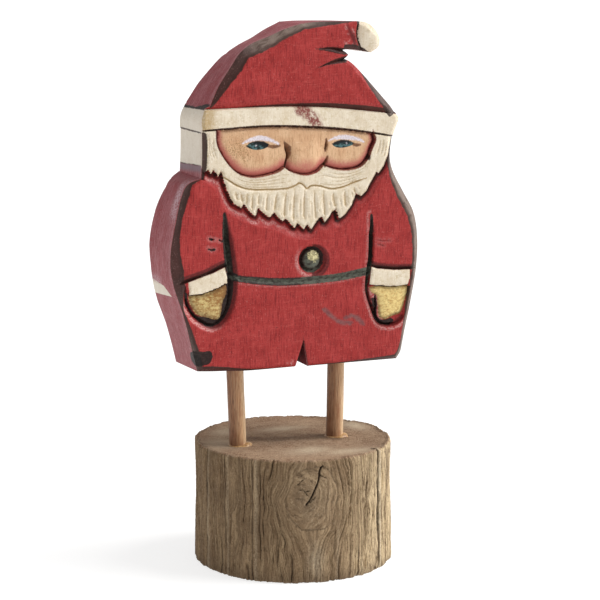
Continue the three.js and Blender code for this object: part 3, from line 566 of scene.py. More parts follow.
def front_depth(read):
    """Depth of the carved front below the board's face, in millimetres."""
    places = read.places
    depth = most(*(cut_depth(places, c)[0] for c in PLAIN_CUTS))
    # The beard stands out of a recess that rises to its rim, and its locks are rounded.
    beard_gap = read.beard_gap
    slope = 1 - beard_gap / most(beard_gap + read.rim_gap, 1e-6)
    recess = BEARD_RECESS * ease(beard_gap, -0.05, 0.35) * slope
    depth = most(depth, np.where(read.in_recess, recess, 0))
    rounding = LOCK_ROUNDING * fall(read.whiskers, 0, 0.8)
    hairy = (read.whiskers > 0) & (read.face < 0)
    depth = np.where(hairy, most(depth, read.locks) + rounding * (beard_gap < 1), depth)
    # Hollows round the hands, cuffs and mittens.
    depth = most(depth, HAND_HOLLOW * ease(read.hollow_floor, 0, 0.6))
    depth = np.where(read.cuffs > ON_EDGE, CUFF_ROUNDING * fall(read.cuffs, 0, CUFF_ROUNDING), depth)
    mitten = MITTEN_DEPTH + MITTEN_DOME * shoulder(read.mittens, MITTEN_SHOULDER)
    thumb = cut_depth(places, THUMB_CUT)[0]
    depth = np.where(read.mittens > ON_EDGE, most(mitten, thumb), depth)
    # The face and the cuts beside its nose.
    face = face_depth(read)
    for c in NOSE_CUTS:
        face = face + cut_depth(places, c)[0] * NOSE_CUT_SHARE
    depth = np.where(read.face > 0, least(face, FACE_POCKET + 0.6), depth)
    # The button's dish and dome.
    r = read.button
    dish = BUTTON_RING_DEPTH * np.clip((BUTTON_RING - r) / (BUTTON_RING - BUTTON_RADIUS), 0, 1)
    dome = np.sqrt(np.clip(1 - (r / BUTTON_DOME) ** 2, 0, 1))
    dome = BUTTON_RING_DEPTH - (BUTTON_RING_DEPTH + BUTTON_PROUD) * dome
    depth = np.where(r < BUTTON_RING, most(least(dish, dome), -BUTTON_PROUD), depth)
    # The hat's round end, the worn chamfer and the knife's uneven surface.
    crown = CROWN_DOME * shoulder(read.pom, CROWN_SHOULDER)
    depth = np.where(read.pom > 0, most(depth, crown), depth)
    bevel = (read.bevel * (1 + 0.1 * rough(places, (3, 3), 5)) - read.rim) * UNIT_MM
    depth = most(depth, np.where(read.rim < -ON_EDGE, read.bevel * UNIT_MM, bevel))
    marks = sum(mark * rough(places, (width, length), seed) for width, length, mark, seed in KNIFE_MARKS)
    return depth + (marks + KNIFE_MEAN) * ease(read.rim, 0, 0.6)


def hexagons(gap, low, high):
    """Points gap apart in staggered rows, between two corners."""
    x, y = np.meshgrid(np.arange(low[0], high[0], gap), np.arange(low[1], high[1], gap * 0.866))
    x[::2] += gap / 2
    return np.column_stack([x.ravel(), y.ravel()])


def circle(sides):
    """A closed line round a circle of radius 1."""
    turn = np.linspace(0, 2 * np.pi, sides + 1)
    return np.column_stack([np.cos(turn), np.sin(turn)])


def lattice():
    """Loose points over the front, closer together on the face and the beard."""
    random = np.random.default_rng(3)
    kept = []
    for gap, fine in ((0.5, False), (0.32, True)):
        grid = hexagons(gap, (-40, -1), (40, 102))
        grid += random.uniform(-0.16, 0.16, grid.shape) * gap
        x, z = grid.T
        kept.append(grid[((abs(x) < 30) & (z > 39) & (z < 71)) == fine])
    return np.vstack(kept)


def front_lines():
    """The lines that the front's triangles follow: the outline comes first."""
    rim = RIM[:, :2]
    inner = rim - outward(rim) * RIM[:, 2:3]
    lines = [closed(rim), closed(inner)]
    for c in (*PLAIN_CUTS, *NOSE_CUTS, *STRAND_CUTS):
        lines.append(c["line"])
        if c["depth"] >= LINE_DEPTH:
            lines += [beside(c["line"], c["left"]), beside(c["line"], -c["right"])]
    lines += [BEARD_LINE, beside(BEARD_LINE, -0.35), smooth(BEARD_RIM, 0.5)]
    lines += [FACE_LOW, beside(FACE_LOW, 0.25)]
    lines += [closed(ring) for ring in (*CUFF_RINGS, *MITTEN_RINGS, *HOLLOW_RINGS, *EYE_RINGS)]
    return lines + [BUTTON + circle(48) * r / UNIT_MM for r in (BUTTON_DOME, BUTTON_RING)]


def triangulate(ring, lines, loose, clear):
    """Triangles inside a ring that follow lines. Loose points closer to a line than clear are dropped."""
    gap = np.full(len(loose), 9.0)
    for line in lines:
        gap = least(gap, nearest(loose, line, clear)[0])
    loose = loose[(gap >= clear * 0.999) & inside(loose, ring)]
    points = [np.array(line) for line in lines]
    starts = np.cumsum([0, *(len(line) for line in points)])
    edges = [(s + i, s + i + 1) for s, line in zip(starts, points) for i in range(len(line) - 1)]
    everything = np.vstack([*points, loose])
    made = delaunay_2d_cdt([Vector(p) for p in everything], edges, [], 0, 1e-3)
    verts = np.array([v[:] for v in made[0]])
    faces = np.array(made[2])
    kept = faces[inside(verts[faces].mean(1), ring)]
    used = np.unique(kept)
    renumber = np.full(len(verts), -1)
    renumber[used] = np.arange(len(used))
    return verts[used], renumber[kept]


def turned(points, faces, clockwise=False):
    """The flat triangles, all turning the same way."""
    corners = points[faces]
    first, second = corners[:, 1] - corners[:, 0], corners[:, 2] - corners[:, 0]
    area = first[:, 0] * second[:, 1] - first[:, 1] * second[:, 0]
    wrong = (area > 0) == clockwise
    faces = faces.copy()
    faces[wrong] = faces[wrong][:, ::-1]
    return faces


def border(faces):
    """The loop of vertices round an open surface, in the direction that its faces turn."""
    edges = np.vstack([faces[:, [0, 1]], faces[:, [1, 2]], faces[:, [2, 0]]])
    here = {tuple(e) for e in edges.tolist()}
    after = {a: b for a, b in here if (b, a) not in here}
    loops = []
    while after:
        start, b = after.popitem()
        loop = [start]
        while b != start:
            loop.append(b)
            b = after.pop(b)
        loops.append(loop)
    return max(loops, key=len)


def joined(points, ring, count):
    """The numbers of a flat face's points in a mesh of count vertices that end with the face's border ring,
    and which of the points are new to the mesh."""
    gap = np.hypot(*(points[:, None] - ring[None]).transpose(2, 0, 1))
    index = count - len(ring) + gap.argmin(1)
    new = np.flatnonzero(gap.min(1) > 1e-3)
    index[new] = count + np.arange(len(new))
    return index, new


def wall(low, high, mirrored=False):
    """Quads between two loops of vertices."""
    quads = np.column_stack([low, np.roll(low, -1), np.roll(high, -1), high])
    return (quads[:, [1, 0, 3, 2]] if mirrored else quads).tolist()


def build_mesh(name, verts, faces, attributes, material, sharp_degrees):
    """A mesh object at the origin, with one attribute for each named array."""
    mesh = bpy.data.meshes.new(name)
    mesh.from_pydata(verts.tolist(), [], faces)
    for key, values in attributes.items():
        kind, slot = ("FLOAT_VECTOR", "vector") if np.ndim(values) == 2 else ("FLOAT", "value")
        attribute = mesh.attributes.new(key, kind, "POINT")
        attribute.data.foreach_set(slot, np.ravel(values).astype(np.float32))
    mesh.materials.append(material)
    mesh.shade_smooth()
    mesh.set_sharp_from_angle(angle=math.radians(sharp_degrees))
    piece = bpy.data.objects.new(name, mesh)
    bpy.context.scene.collection.objects.link(piece)
    return piece


def on_board(places, depth_mm):
    """Places of the drawing as points of the part's frame, at depths below the board's face."""
    x, z = places.T
    points = np.column_stack([MIDDLE_X + x * UNIT, FACE_Y + depth_mm * MM, HEM_Z + z * UNIT])
    return np.clip(points, np.array(figure_low), np.array(figure_high))


SIDE_ROWS = 22
BACK_RIM, BACK = 1.05, 1.2  # the share of the board's depth that the paint reads there


def figure_side(ring, start, flare, edge):
    """The sawn side's rows, from the front's rim to the back's chamfer: places, depths and their shares."""
    out = outward(ring[::-1])[::-1]
    n = len(ring)
    rows = []
    for share in np.arange(1, SIDE_ROWS + 1) / SIDE_ROWS:
        depth = start + (BOARD_MM - edge - start) * share
        rows.append([ring + out * (flare * share)[:, None], depth, np.full(n, share)])
    back_ring = ring + out * (flare - edge / UNIT_MM)[:, None]
    rows.append([back_ring, np.full(n, float(BOARD_MM)), np.full(n, BACK_RIM)])
    return [np.concatenate(values) for values in zip(*rows)]


def whole_figure():
    """The figure's vertices, faces and paint: its carved front, its sawn side and its plain back."""
    front, front_faces = triangulate(RIM[:, :2], front_lines(), lattice(), 0.17)
    read = read_front(front)
    depth = front_depth(read)
    front_faces = turned(front, front_faces)
    loop = np.array(border(front_faces))
    ring = front[loop]
    edge = least(BACK_BEVEL, read.bevel[loop]) * UNIT_MM
    side, side_depth, side_share = figure_side(ring, depth[loop], read.flare[loop], edge)
    count, n = len(front), len(ring)
    # The back is flat and shares its border's points with the side.
    back_ring = side[-n:]
    back, back_faces = triangulate(back_ring, [closed(back_ring)], lattice()[::5], 0.4)
    index, new = joined(back, back_ring, count + len(side))
    back_faces = turned(back, back_faces, clockwise=True)
    back = back[new]
    # One list of faces: the front's triangles, the side's quads and the back's triangles.
    faces = front_faces.tolist()
    above = loop
    for row in range(SIDE_ROWS + 1):
        below = count + row * n + np.arange(n)
        faces += wall(above, below, mirrored=True)
        above = below
    faces += index[back_faces].tolist()
    places = np.vstack([front, side, back])
    depths = np.concatenate([depth, side_depth, np.full(len(back), float(BOARD_MM))])
    own = np.vstack([np.tile(ring, (SIDE_ROWS + 1, 1)), back])
    shares = np.concatenate([side_share, np.full(len(back), BACK)])
    on_front, on_side = front_paint(read), side_paint(own, shares)
    paint = {}
    for names, absent in ((CRISP, -9.0), (SOFT, 0.0)):
        for name in names:
            first = on_front.get(name, np.full(count, absent))
            paint[name] = np.concatenate([first, on_side.get(name, np.full(len(own), absent))])
    return on_board(places, depths), faces, paint


# Paint with an edge is a signed distance in millimetres, above 0 where it is. The rest are shares.
CRISP = ("cream", "skin", "gold", "brass", "white", "iris", "lash", "maroon", "umber", "stripe", "tar")
SOFT = ("rose", "ochre", "worn", "freckle", "tone", "shaded", "green", "haze", "smear", "side", "pupil",
        "matt")


def front_paint(read):
    """The paint of the front."""
    places = read.places
    x, z = places.T
    # ochre: painted shade in the hair's cuts and along the mustache's line, and ochre towards the band's left
    # end.
    line = ease(cut_depth(places, MUSTACHE_CUT)[1], 0.25, 0.85)
    corner = ease(-x, 23.5, 28) * (read.band > 0) * 0.75
    haze, smear = haze_paint(read)
    tar, green = tar_paint(read)
    tone, shaded = mitten_paint(read)
    return {
        **face_paint(read), "gold": read.mittens * UNIT_MM, "tone": tone, "shaded": shaded,
        "cream": most(least(read.whiskers, -read.face), read.band, read.pom, read.cuffs) * UNIT_MM,
        "ochre": np.clip(most(read.thread * 0.85, line, corner), 0, 1), "worn": wear_and_highlight_paint(read),
        "maroon": maroon_paint(read), "umber": umber_paint(read), "tar": tar, "green": green,
        "stripe": (read.stain * (1 + 0.06 * read.waver) - read.rim) * UNIT_MM, "haze": haze, "smear": smear,
        "brass": BUTTON_RADIUS * 0.52 - np.hypot((x - 4.1) * 0.95, (z - 32.5) * 1.1) * UNIT_MM,
    }


def face_paint(read):
    """Skin with its blush and freckles, eyes with their glints, lashes and brows, and painted shade beside
    the nose and under the band.
    """
    stroke, places = read.stroke, read.places
    x, z = places.T
    glints = [(size - apart(places, glint)) * UNIT_MM for glint, size in zip(GLINTS, GLINT_SIZES)]
    brows = [stroke(brow, [0.2, 0.6, 0.75, 0.6, 0.3]) for brow in BROWS]
    lashes = [stroke(lash, [0.4, 0.55, 0.3]) for lash in LASHES]
    # Painted shade in the cuts beside the nose, given with the lashes.
    drop = stroke(LEFT_NOSE_CUT, [0.4, 1.5, 0.9, 0.2, 0.1], [0.1, 0.25, 0.2, 0.1, 0.1])
    bridge = [stroke(c, w) for c, w in zip(RIGHT_NOSE_CUTS, ([0.3, 0.5, 0.35], [0.3, 0.5, 0.45]))]
    side_cheek = np.clip(ease(-x, 18, 24) + ease(x, 17, 22), 0, 1)
    blush = fall(read.cheek_gap, 0.5, 4.2 - 1.2 * side_cheek)
    nose_tip = 0.68 * bell((x - 1.7) / 5, (z - 58.6) / 2.6)
    # A rosy brown under the band: painted shade.
    under_band = 0.3 * fall(read.brow_gap, 0.3, 1.6)
    return {
        "skin": read.face * UNIT_MM, "freckle": bell((x + 18.6) / 4.5, (z - 64.2) / 3.2),
        "rose": np.clip(most(blush, nose_tip, under_band), 0, 1) * (read.face > 0),
        "iris": most(*(depth_inside(places, ring) for ring in EYE_RINGS)) * UNIT_MM,
        "pupil": most(*(ease(z + lean * (x - at), high - 0.9, high - 0.2) * (abs(x - at) < 5)
                        for at, high, lean in EYE_SHADES)),
        "white": most(*brows, *glints),
        "lash": most(*lashes, drop, *bridge),
    }


def mitten_paint(read):
    """How brown the mittens' gold is, with the dark edge's tone elsewhere, and how shaded they are."""
    x, z = read.places.T
    on, left = read.mittens > 0, x < 0
    # The left mitten browner and darker all over, and both mittens darker towards their edges and bottoms:
    # painted shade.
    left_hand = 0.45 + 0.45 * ease(z - 0.9 * (-26 - x), 18, 25)
    right_hand = 0.1 + 0.25 * ease(-z, -16, -13)
    tone = np.where(on, np.where(left, left_hand, right_hand), read.tone)
    shaded = np.where(on, fall(read.mittens, 0.1, 1.6), 0) * (0.6 + 0.4 * ease(-z, -18, -14))
    return tone, np.where(on & left, 0.52 + 0.48 * shaded, shaded)


def maroon_paint(read):
    """Thin dark red where a cut runs out, as painted shade: round the beard, inside the cheeks and beside the
    grooves.
    """
    stroke = read.stroke
    x, z = read.places.T
    # Painted shade in the recess round the beard.
    beard = 0.95 + 0.3 * ease(-x, 22, 25) + 0.35 * ease(x, -8, 10) - read.beard_gap + 0.2 * read.waver
    beard = least(beard, np.where(read.in_recess, 5, -5))
    # Painted shade inside the cheeks' lower border.
    ring = spread(CHEEK_LINE, read.cheek_share)
    ring = least(ring - read.cheek_gap + 0.15 * read.waver, read.face + 0.1)
    # Painted shade under the band.
    shade = least(0.25 - read.brow_gap, read.face)
    grooves = most(stroke(LEFT_ARM, [0.7, 1.9, 2.2, 1.9, 1.3, 0.6, 0.2], [0.3, 1, 1.2, 1.2, 1, 0.4]),
                   stroke(RIGHT_ARM, [0.3, 0.7, 0.8, 0.8, 0.6], [0.3, 0.8, 1.1, 1.1, 0.4]))
    faint = most(*(stroke(nick, [0.1, 0.3, 0.15]) for nick in FAINT_NICKS)) + 0.5 * read.waver
    grooves = least(grooves, -most(read.cuffs, read.mittens) * UNIT_MM)
    # Painted shade on the right of the button's dish, in the notch, above the cuffs and inside the hat's end.
    crescent = np.hypot(x - 4.3, z - 31) * UNIT_MM
    crescent = np.where(x > BUTTON[0], least(9.4 - crescent, crescent - 6), -3)
    notch = stroke(NOTCH_TIP, [1.5, 0.4, 0.15])
    lips = most(stroke(LEFT_CUFF_TOP, [1.9, 2, 2.1], [0.2]), stroke(RIGHT_CUFF_TOP, [1.7, 1.6, 1.5], [0.2]))
    lips = least(lips, -read.cuffs * UNIT_MM)
    inner = stroke(HAT_END, [0.3, 0.5, 0.9, 0.6])
    beard, ring, shade = beard * UNIT_MM, ring * UNIT_MM, shade * UNIT_MM
    return most(beard, ring, shade, grooves, faint, crescent, notch, lips, inner * 0.6)


def umber_paint(read):
    """Dark brown in the cuts, as painted shade."""
    stroke = read.stroke
    x, z = read.places.T
    # Painted shade on the slope above the band and in the line under it.
    above = least(stroke(BAND_TOP, [0.2, 0.25, 0.6, 1, 1.35, 1.5, 1.2], [0.1]), -read.band * UNIT_MM)
    below = stroke(BAND_LOW, [0.25], [0.2, 0.4, 0.4, 0.45, 0.5, 0.35, 0.2])
    # Painted shade at the foot of the beard's recess.
    beard = 0.42 + 0.4 * ease(x, -8, 12) + 0.2 * read.waver - read.beard_gap
    beard = least(beard * UNIT_MM, np.where(read.in_recess, 5, -5))
    # Painted shade on the slopes above the cuffs.
    cuffs = most(stroke(LEFT_CUFF_TOP, [0.8, 0.9, 1.1], [0.2]),
                 stroke(RIGHT_CUFF_TOP, [0.9, 0.8, 0.7], [0.2]))
    cuffs = least(cuffs, -read.cuffs * UNIT_MM)
    wrists = most(stroke(WRISTS[0], [0.2]), stroke(WRISTS[1], [0.22]))
    # Painted shade in the cuts beside the nose.
    nose = stroke(LEFT_NOSE_CUT, [-0.3, 0.05, 0.35, 0.4, 0.3], [-0.3, 0, 0.2, 0.25, 0.25])
    bridge = most(*(stroke(c, w) for c, w in zip(RIGHT_NOSE_CUTS, ([-0.1, 0.12, -0.1], [-0.1, 0.15, 0.2]))))
    blob = 0.55 - np.hypot((x - 21.6) / 1.1, (z - 60.6) / 1.6)
    # Painted shade beside the round end, under the hat's tip and in its folds.
    pom = stroke(POM_GROOVE, [0.35, 0.3, 0.15, 0.2, 0.4], [0.4, 0.5, 0.6, 0.9, 1.3])
    tip = stroke(HAT_TIP, [0.05, 0.4, 0.8, 0.9])
    folds = most(stroke(FOLDS[0], [0.1, 0.4, 0.6, 0.8]), stroke(FOLDS[1], [0.1, 0.4, 0.8, 1.1]))
    tip = most(tip, folds - 0.25)
    return most(above, below, beard, cuffs, wrists, nose, bridge, blob * UNIT_MM, pom, tip * 0.9)


def tar_paint(read):
    """Blackish paint in the grooves, round the hands, on the belt and the button, and how green it is."""
    stroke = read.stroke
    x, z = read.places.T
    left = stroke(LEFT_ARM, [0.4, 0.95, 1.1, 1.1, 1, 0.8, 0.5, 0.3, 0.2, 0.1],
                  [0.5, 1.3, 1.5, 1.5, 0.9, 0.6, 0.5, 0.3, 0.2, 0.1])
    right = stroke(RIGHT_ARM, [0.45, 0.7, 0.7, 0.75, 0.5, 0.25, 0.1, 0, -0.4, -0.5])
    hands = -most(read.cuffs, read.mittens - 0.2) * UNIT_MM
    arms = least(most(left, right), hands)
    inset = np.where(x < 0, 0.5 * ease(-x, 28, 32), 0.3 + 1.2 * ease(-x, -25.5, -23) + 2 * ease(x, 29, 31.5))
    hollows = (read.hollows + 0.1 - inset + 0.15 * read.waver) * UNIT_MM
    belt = stroke(BELT, [0.9, 1.1, 1.15, 1.15, 1.1, 1.15, 1.2])
    knot = (1.25 - np.hypot(x + 20.4, z - 27.7) + 0.2 * read.waver) * UNIT_MM
    nicks = most(*(stroke(nick, [0, 0.25, 0.1, 0.15]) for nick in NICKS)) + 0.7 * read.waver
    folds = most(stroke(FOLDS[0], [-2, -1.2, -0.2, 0.4]), stroke(FOLDS[1], [-2, -1.4, -0.6, 0, 0.6]))
    button = 7.2 - read.button
    spot = (depth_inside(read.places, smooth(TAR_SPOT)) + 0.35 * read.waver) * UNIT_MM
    slit = stroke(NOTCH_SLIT, [0.7, 0.35, 0.1])
    thumb = stroke(THUMB_SLOT, [0.2, 0.5, 0.6, 0.5])
    lids = [stroke(eye[:5], [0.12, 0.3, 0.32, 0.3, 0.15]) for eye in EYES]
    green = most(ease(belt, 0.45, 1.2), ease(BUTTON_RADIUS * 0.9 - read.button, 0, 1.2),
                 0.55 * ease(most(left, right), 0.5, 1.4) * (z > 29), 0.8 * (x > 0) * hill(z, 19, 21, 28, 30))
    black = most(arms, hollows, belt, knot, nicks, folds, button, spot, slit, thumb, *lids)
    return black, green


def wear_and_highlight_paint(read):
    """Pale marks: paint scuffed by handling on nicks, the hat's tip and the hem, and painted highlights on
    the lips of cuts and round the button.
    """
    places = read.places
    x, z = places.T

    def rubbed_and_lit(line, near, far):
        gap, side, share = nearest(places, smooth(line), 4)
        return hill(gap, near, near + 0.4, far - 0.5, far), side, share

    coat = (read.cuffs < 0) & (read.mittens < 0)
    # Painted highlights on the lit lips of the beard's recess, the arms' grooves, the right hand's hollow,
    # the button's dish and the belt.
    beard = hill(read.beard_gap, 1.2, 1.6, 1.8, 2.6) * read.in_recess * (0.8 * ease(-x, -2, 12) + 0.1)
    left, side, share = rubbed_and_lit(LEFT_ARM, 0.3, 2.1)
    left = left * (side > 0) * ease(share, 0.6, 0.72) * coat * (read.hollows < 0)
    right, side, share = rubbed_and_lit(RIGHT_ARM, 0.55, 1.9)
    right = right * (side < 0) * (0.5 + 0.4 * ease(share, 0.45, 0.6)) * coat * (read.hollows < 0)
    hollow = hill(read.hollows, -0.4, 0.1, 0.9, 1.5) * (x > 0) * (x < 27) * (z < 22) * coat * 0.9
    lower_left = np.clip(np.cos(np.arctan2(z - BUTTON[1], x - BUTTON[0]) + 2.5), 0, 1)
    button = hill(read.button, 7.8, 8.4, 9.4, 10.6) * lower_left
    belt, side, _ = rubbed_and_lit(BELT, 1, 1.8)
    nicks = [fall(nearest(places, smooth(nick), 3)[0], 0.3, 1.2) * amount
             for group, amount in ((NICKS, 0.5), (FAINT_NICKS, 0.2)) for nick in group]
    tip = hill(x, 13.2, 14.6, 17.2, 17.8) * (z > 93) * (z < 99.6)
    tip = tip * ease(rough(places, (0.9, 0.9), 35), 0.05, 0.5)
    streaks = rough(np.column_stack([x + z * 0.8, x - z]), (0.5, 3), 33, 1)
    chips = fall(np.hypot(x + 3.2, (z - 1.6) * 0.9), 0.5, 1.3) * ease(streaks, -0.2, 0.3)
    belt = belt * (side < 0) * 0.55
    return np.clip(most(beard, left, right, hollow, button, belt, *nicks, tip, chips), 0, 1)


def haze_paint(read):
    """Grey-mauve smudges on the coat and the brown-red smear over the hat's band."""
    places = read.places
    x, z = places.T
    streaks = rough(np.column_stack([x + z * 0.8, x - z]), (0.45, 2.5), 33, 2)
    smudge = least(*(nearest(places, smooth(line), 3)[0] for line in SMUDGES))
    smear = nearest(places, smooth(BAND_SMEAR), 5)[0] + 0.6 * streaks
    return fall(smudge + 0.25 * streaks, 0.3, 0.9), fall(smear, 1.3, 2.3) * ease(streaks, -1.2, -0.4)


def side_paint(places, t):
    """The paint of the sawn side and the plain back. t runs from 0 at the front's rim to 1 at the back's."""
    x, z = places.T
    left, back = x < 0, t > BACK_RIM
    along = np.clip(t, 0, 1)
    band_top = np.where(left, 75.9 - 0.2 * along, 72.9 - 0.3 * along)
    band_low = np.where(left, 69.3 + 0.2 * along, 66.4)
    hair_low = np.where(left, 60.1 - 0.8 * along, 63.2 - 0.5 * along)
    band_top, band_low = np.where(back, 75.6, band_top), np.where(back, 68.8, band_low)
    hair_low = np.where(back, 56 + 0.004 * x**2, hair_low)
    on_band = least(band_top - z, z - band_low)
    on_hair = least(band_low - z, z - hair_low)
    on_pom = np.where(x > 18.4, z - 89.5, -5)
    stripe_low = np.interp(t, [0.25, 1], [22.4, 21.7])
    stripe_top = np.interp(t, [0.25, 0.5, 1], [22.4, 25, 26.1])
    stripe = np.where((x < -30) & ~back, least(z - stripe_low, stripe_top - z), -5)
    waver = rough(np.column_stack([z, t * 20]), (1.3, 1.3), 23)
    # Painted shade at the step where the hat meets the band's top, on the left side.
    black = np.where(left, 0.55 + 0.9 * fall(t, 0.1, 0.45), 0.3)
    black = least(z - band_top + 0.1, band_top + black - z)
    line = most(0.22 - abs(z - band_low), 0.18 - abs(z - hair_low))
    line = np.where(back, 0.2 - abs(z - band_low), line)
    # Painted shadow under the hair on the side.
    shadow = hill(hair_low - z, -0.1, 0.2, 1.2, 2.6) * ~back
    # Painted sheen: a pale streak high on the left side and a pale rim beside the front's edge.
    streak = hill(t, 0.04, 0.12, 0.2, 0.42) * hill(z, 42, 48, 54, 57) * left
    edge_light = fall(t, 0.03, 0.14) * 0.35
    # Painted shade in the notch, darker towards the back, and on the hem's underside.
    notch = (x > -1.6) & (x < 2.8) & (z < 8.5) & ~back
    low = ((z < 0.4) & ~back) | notch
    spot = np.where(x < -25, 2.1 - np.hypot(z - 4.6, t * 13), -5)
    rubbed_and_lit = hill(z, 24.8, 25.6, 26, 29) * ease(t, 0.5, 0.75) * (x < -30)
    return {
        "side": np.where(back, 0.6, 1), "cream": most(on_band, on_hair, on_pom, stripe) * UNIT_MM,
        "tar": most(np.where(left, black + 0.12 * waver, -5), spot + 0.3 * waver) * UNIT_MM,
        "umber": most((line + 0.1 * waver) * UNIT_MM, np.where(notch, 12 * (t - 0.3), -5)),
        "maroon": np.where(low, 2 * (0.9 - t), -5),
        "worn": np.clip(edge_light * ~notch + streak * 0.9 + rubbed_and_lit * 0.7, 0, 1), "haze": shadow,
        "matt": notch.astype(float),
    }


def linear(hex_colour):
    """A colour as it looks on screen, in the linear numbers that shaders use."""
    values = [int(hex_colour[i:i + 2], 16) / 255 for i in (1, 3, 5)]
    return (*(v / 12.92 if v <= 0.04045 else ((v + 0.055) / 1.055) ** 2.4 for v in values), 1)


class Finish:
    """A material under construction. Every method adds a node and gives its output back."""

    def __init__(self, name, roughness, specular):
        self.material = bpy.data.materials.new(name)
        self.material.use_nodes = True
        self.tree = self.material.node_tree
        self.shader = self.tree.nodes["Principled BSDF"]
        self.shader.inputs["Roughness"].default_value = roughness
        self.shader.inputs["Specular IOR Level"].default_value = specular
        self.where = self.tree.nodes.new("ShaderNodeTexCoord").outputs["Object"]

    def put(self, value, socket):
        if isinstance(value, bpy.types.NodeSocket):
            self.tree.links.new(value, socket)
        else:
            socket.default_value = value

    def attribute(self, name, vector=False):
        node = self.tree.nodes.new("ShaderNodeAttribute")
        node.attribute_name = name
        return node.outputs["Vector" if vector else "Fac"]

    def noise(self, size_mm, detail=3, roughness=0.55, where=None, twist=0.0):
        """Noise whose grains are about size_mm wide along x, y and z, from 0 to 1."""
        scaled = self.tree.nodes.new("ShaderNodeVectorMath")
        scaled.operation = "MULTIPLY"
        self.put(where or self.where, scaled.inputs[0])
        scaled.inputs[1].default_value = [1 / (s * MM) for s in size_mm]
        node = self.tree.nodes.new("ShaderNodeTexNoise")
        self.put(scaled.outputs[0], node.inputs["Vector"])
        settings = {"Scale": 1, "Detail": detail, "Roughness": roughness, "Distortion": twist}
        for name, value in settings.items():
            node.inputs[name].default_value = value
        return node.outputs["Fac"]

    def maths(self, operation, a, b):
        node = self.tree.nodes.new("ShaderNodeMath")
        node.operation = operation
        self.put(a, node.inputs[0])
        self.put(b, node.inputs[1])
        return node.outputs[0]

    def times(self, a, b):
        return self.maths("MULTIPLY", a, b)

    def plus(self, a, b):
        return self.maths("ADD", a, b)

    def between(self, value, low, high, bottom=0.0, top=1.0):
        """bottom up to low, top from high on, and soft between."""
        node = self.tree.nodes.new("ShaderNodeMapRange")
        node.interpolation_type = "SMOOTHSTEP"
        for socket, v in zip(node.inputs, (value, low, high, bottom, top)):
            self.put(v, socket)
        return node.outputs[0]

    def mix(self, share, below, above):
        node = self.tree.nodes.new("ShaderNodeMix")
        node.data_type = "RGBA"
        self.put(share, node.inputs["Factor"])
        for colour, socket in ((below, node.inputs[6]), (above, node.inputs[7])):
            self.put(linear(colour) if isinstance(colour, str) else colour, socket)
        return node.outputs[2]

    def blend(self, value, low, high, below, above):
        """One colour up to low, the other from high on, and soft between."""
        return self.mix(self.between(value, low, high), below, above)

    def layers(self, colour, *paints):
        """A colour under thin layers: each is a value, its low and high, the shares there and a colour."""
        for value, low, high, at_low, at_high, paint in paints:
            colour = self.mix(self.between(value, low, high, at_low, at_high), colour, paint)
        return colour

    def bump(self, height, distance_mm):
        node = self.tree.nodes.new("ShaderNodeBump")
        node.inputs["Distance"].default_value = distance_mm * MM
        self.put(height, node.inputs["Height"])
        self.put(node.outputs[0], self.shader.inputs["Normal"])

    def done(self, colour, roughness=None):
        self.put(colour, self.shader.inputs["Base Color"])
        if roughness is not None:
            self.put(roughness, self.shader.inputs["Roughness"])
        return self.material


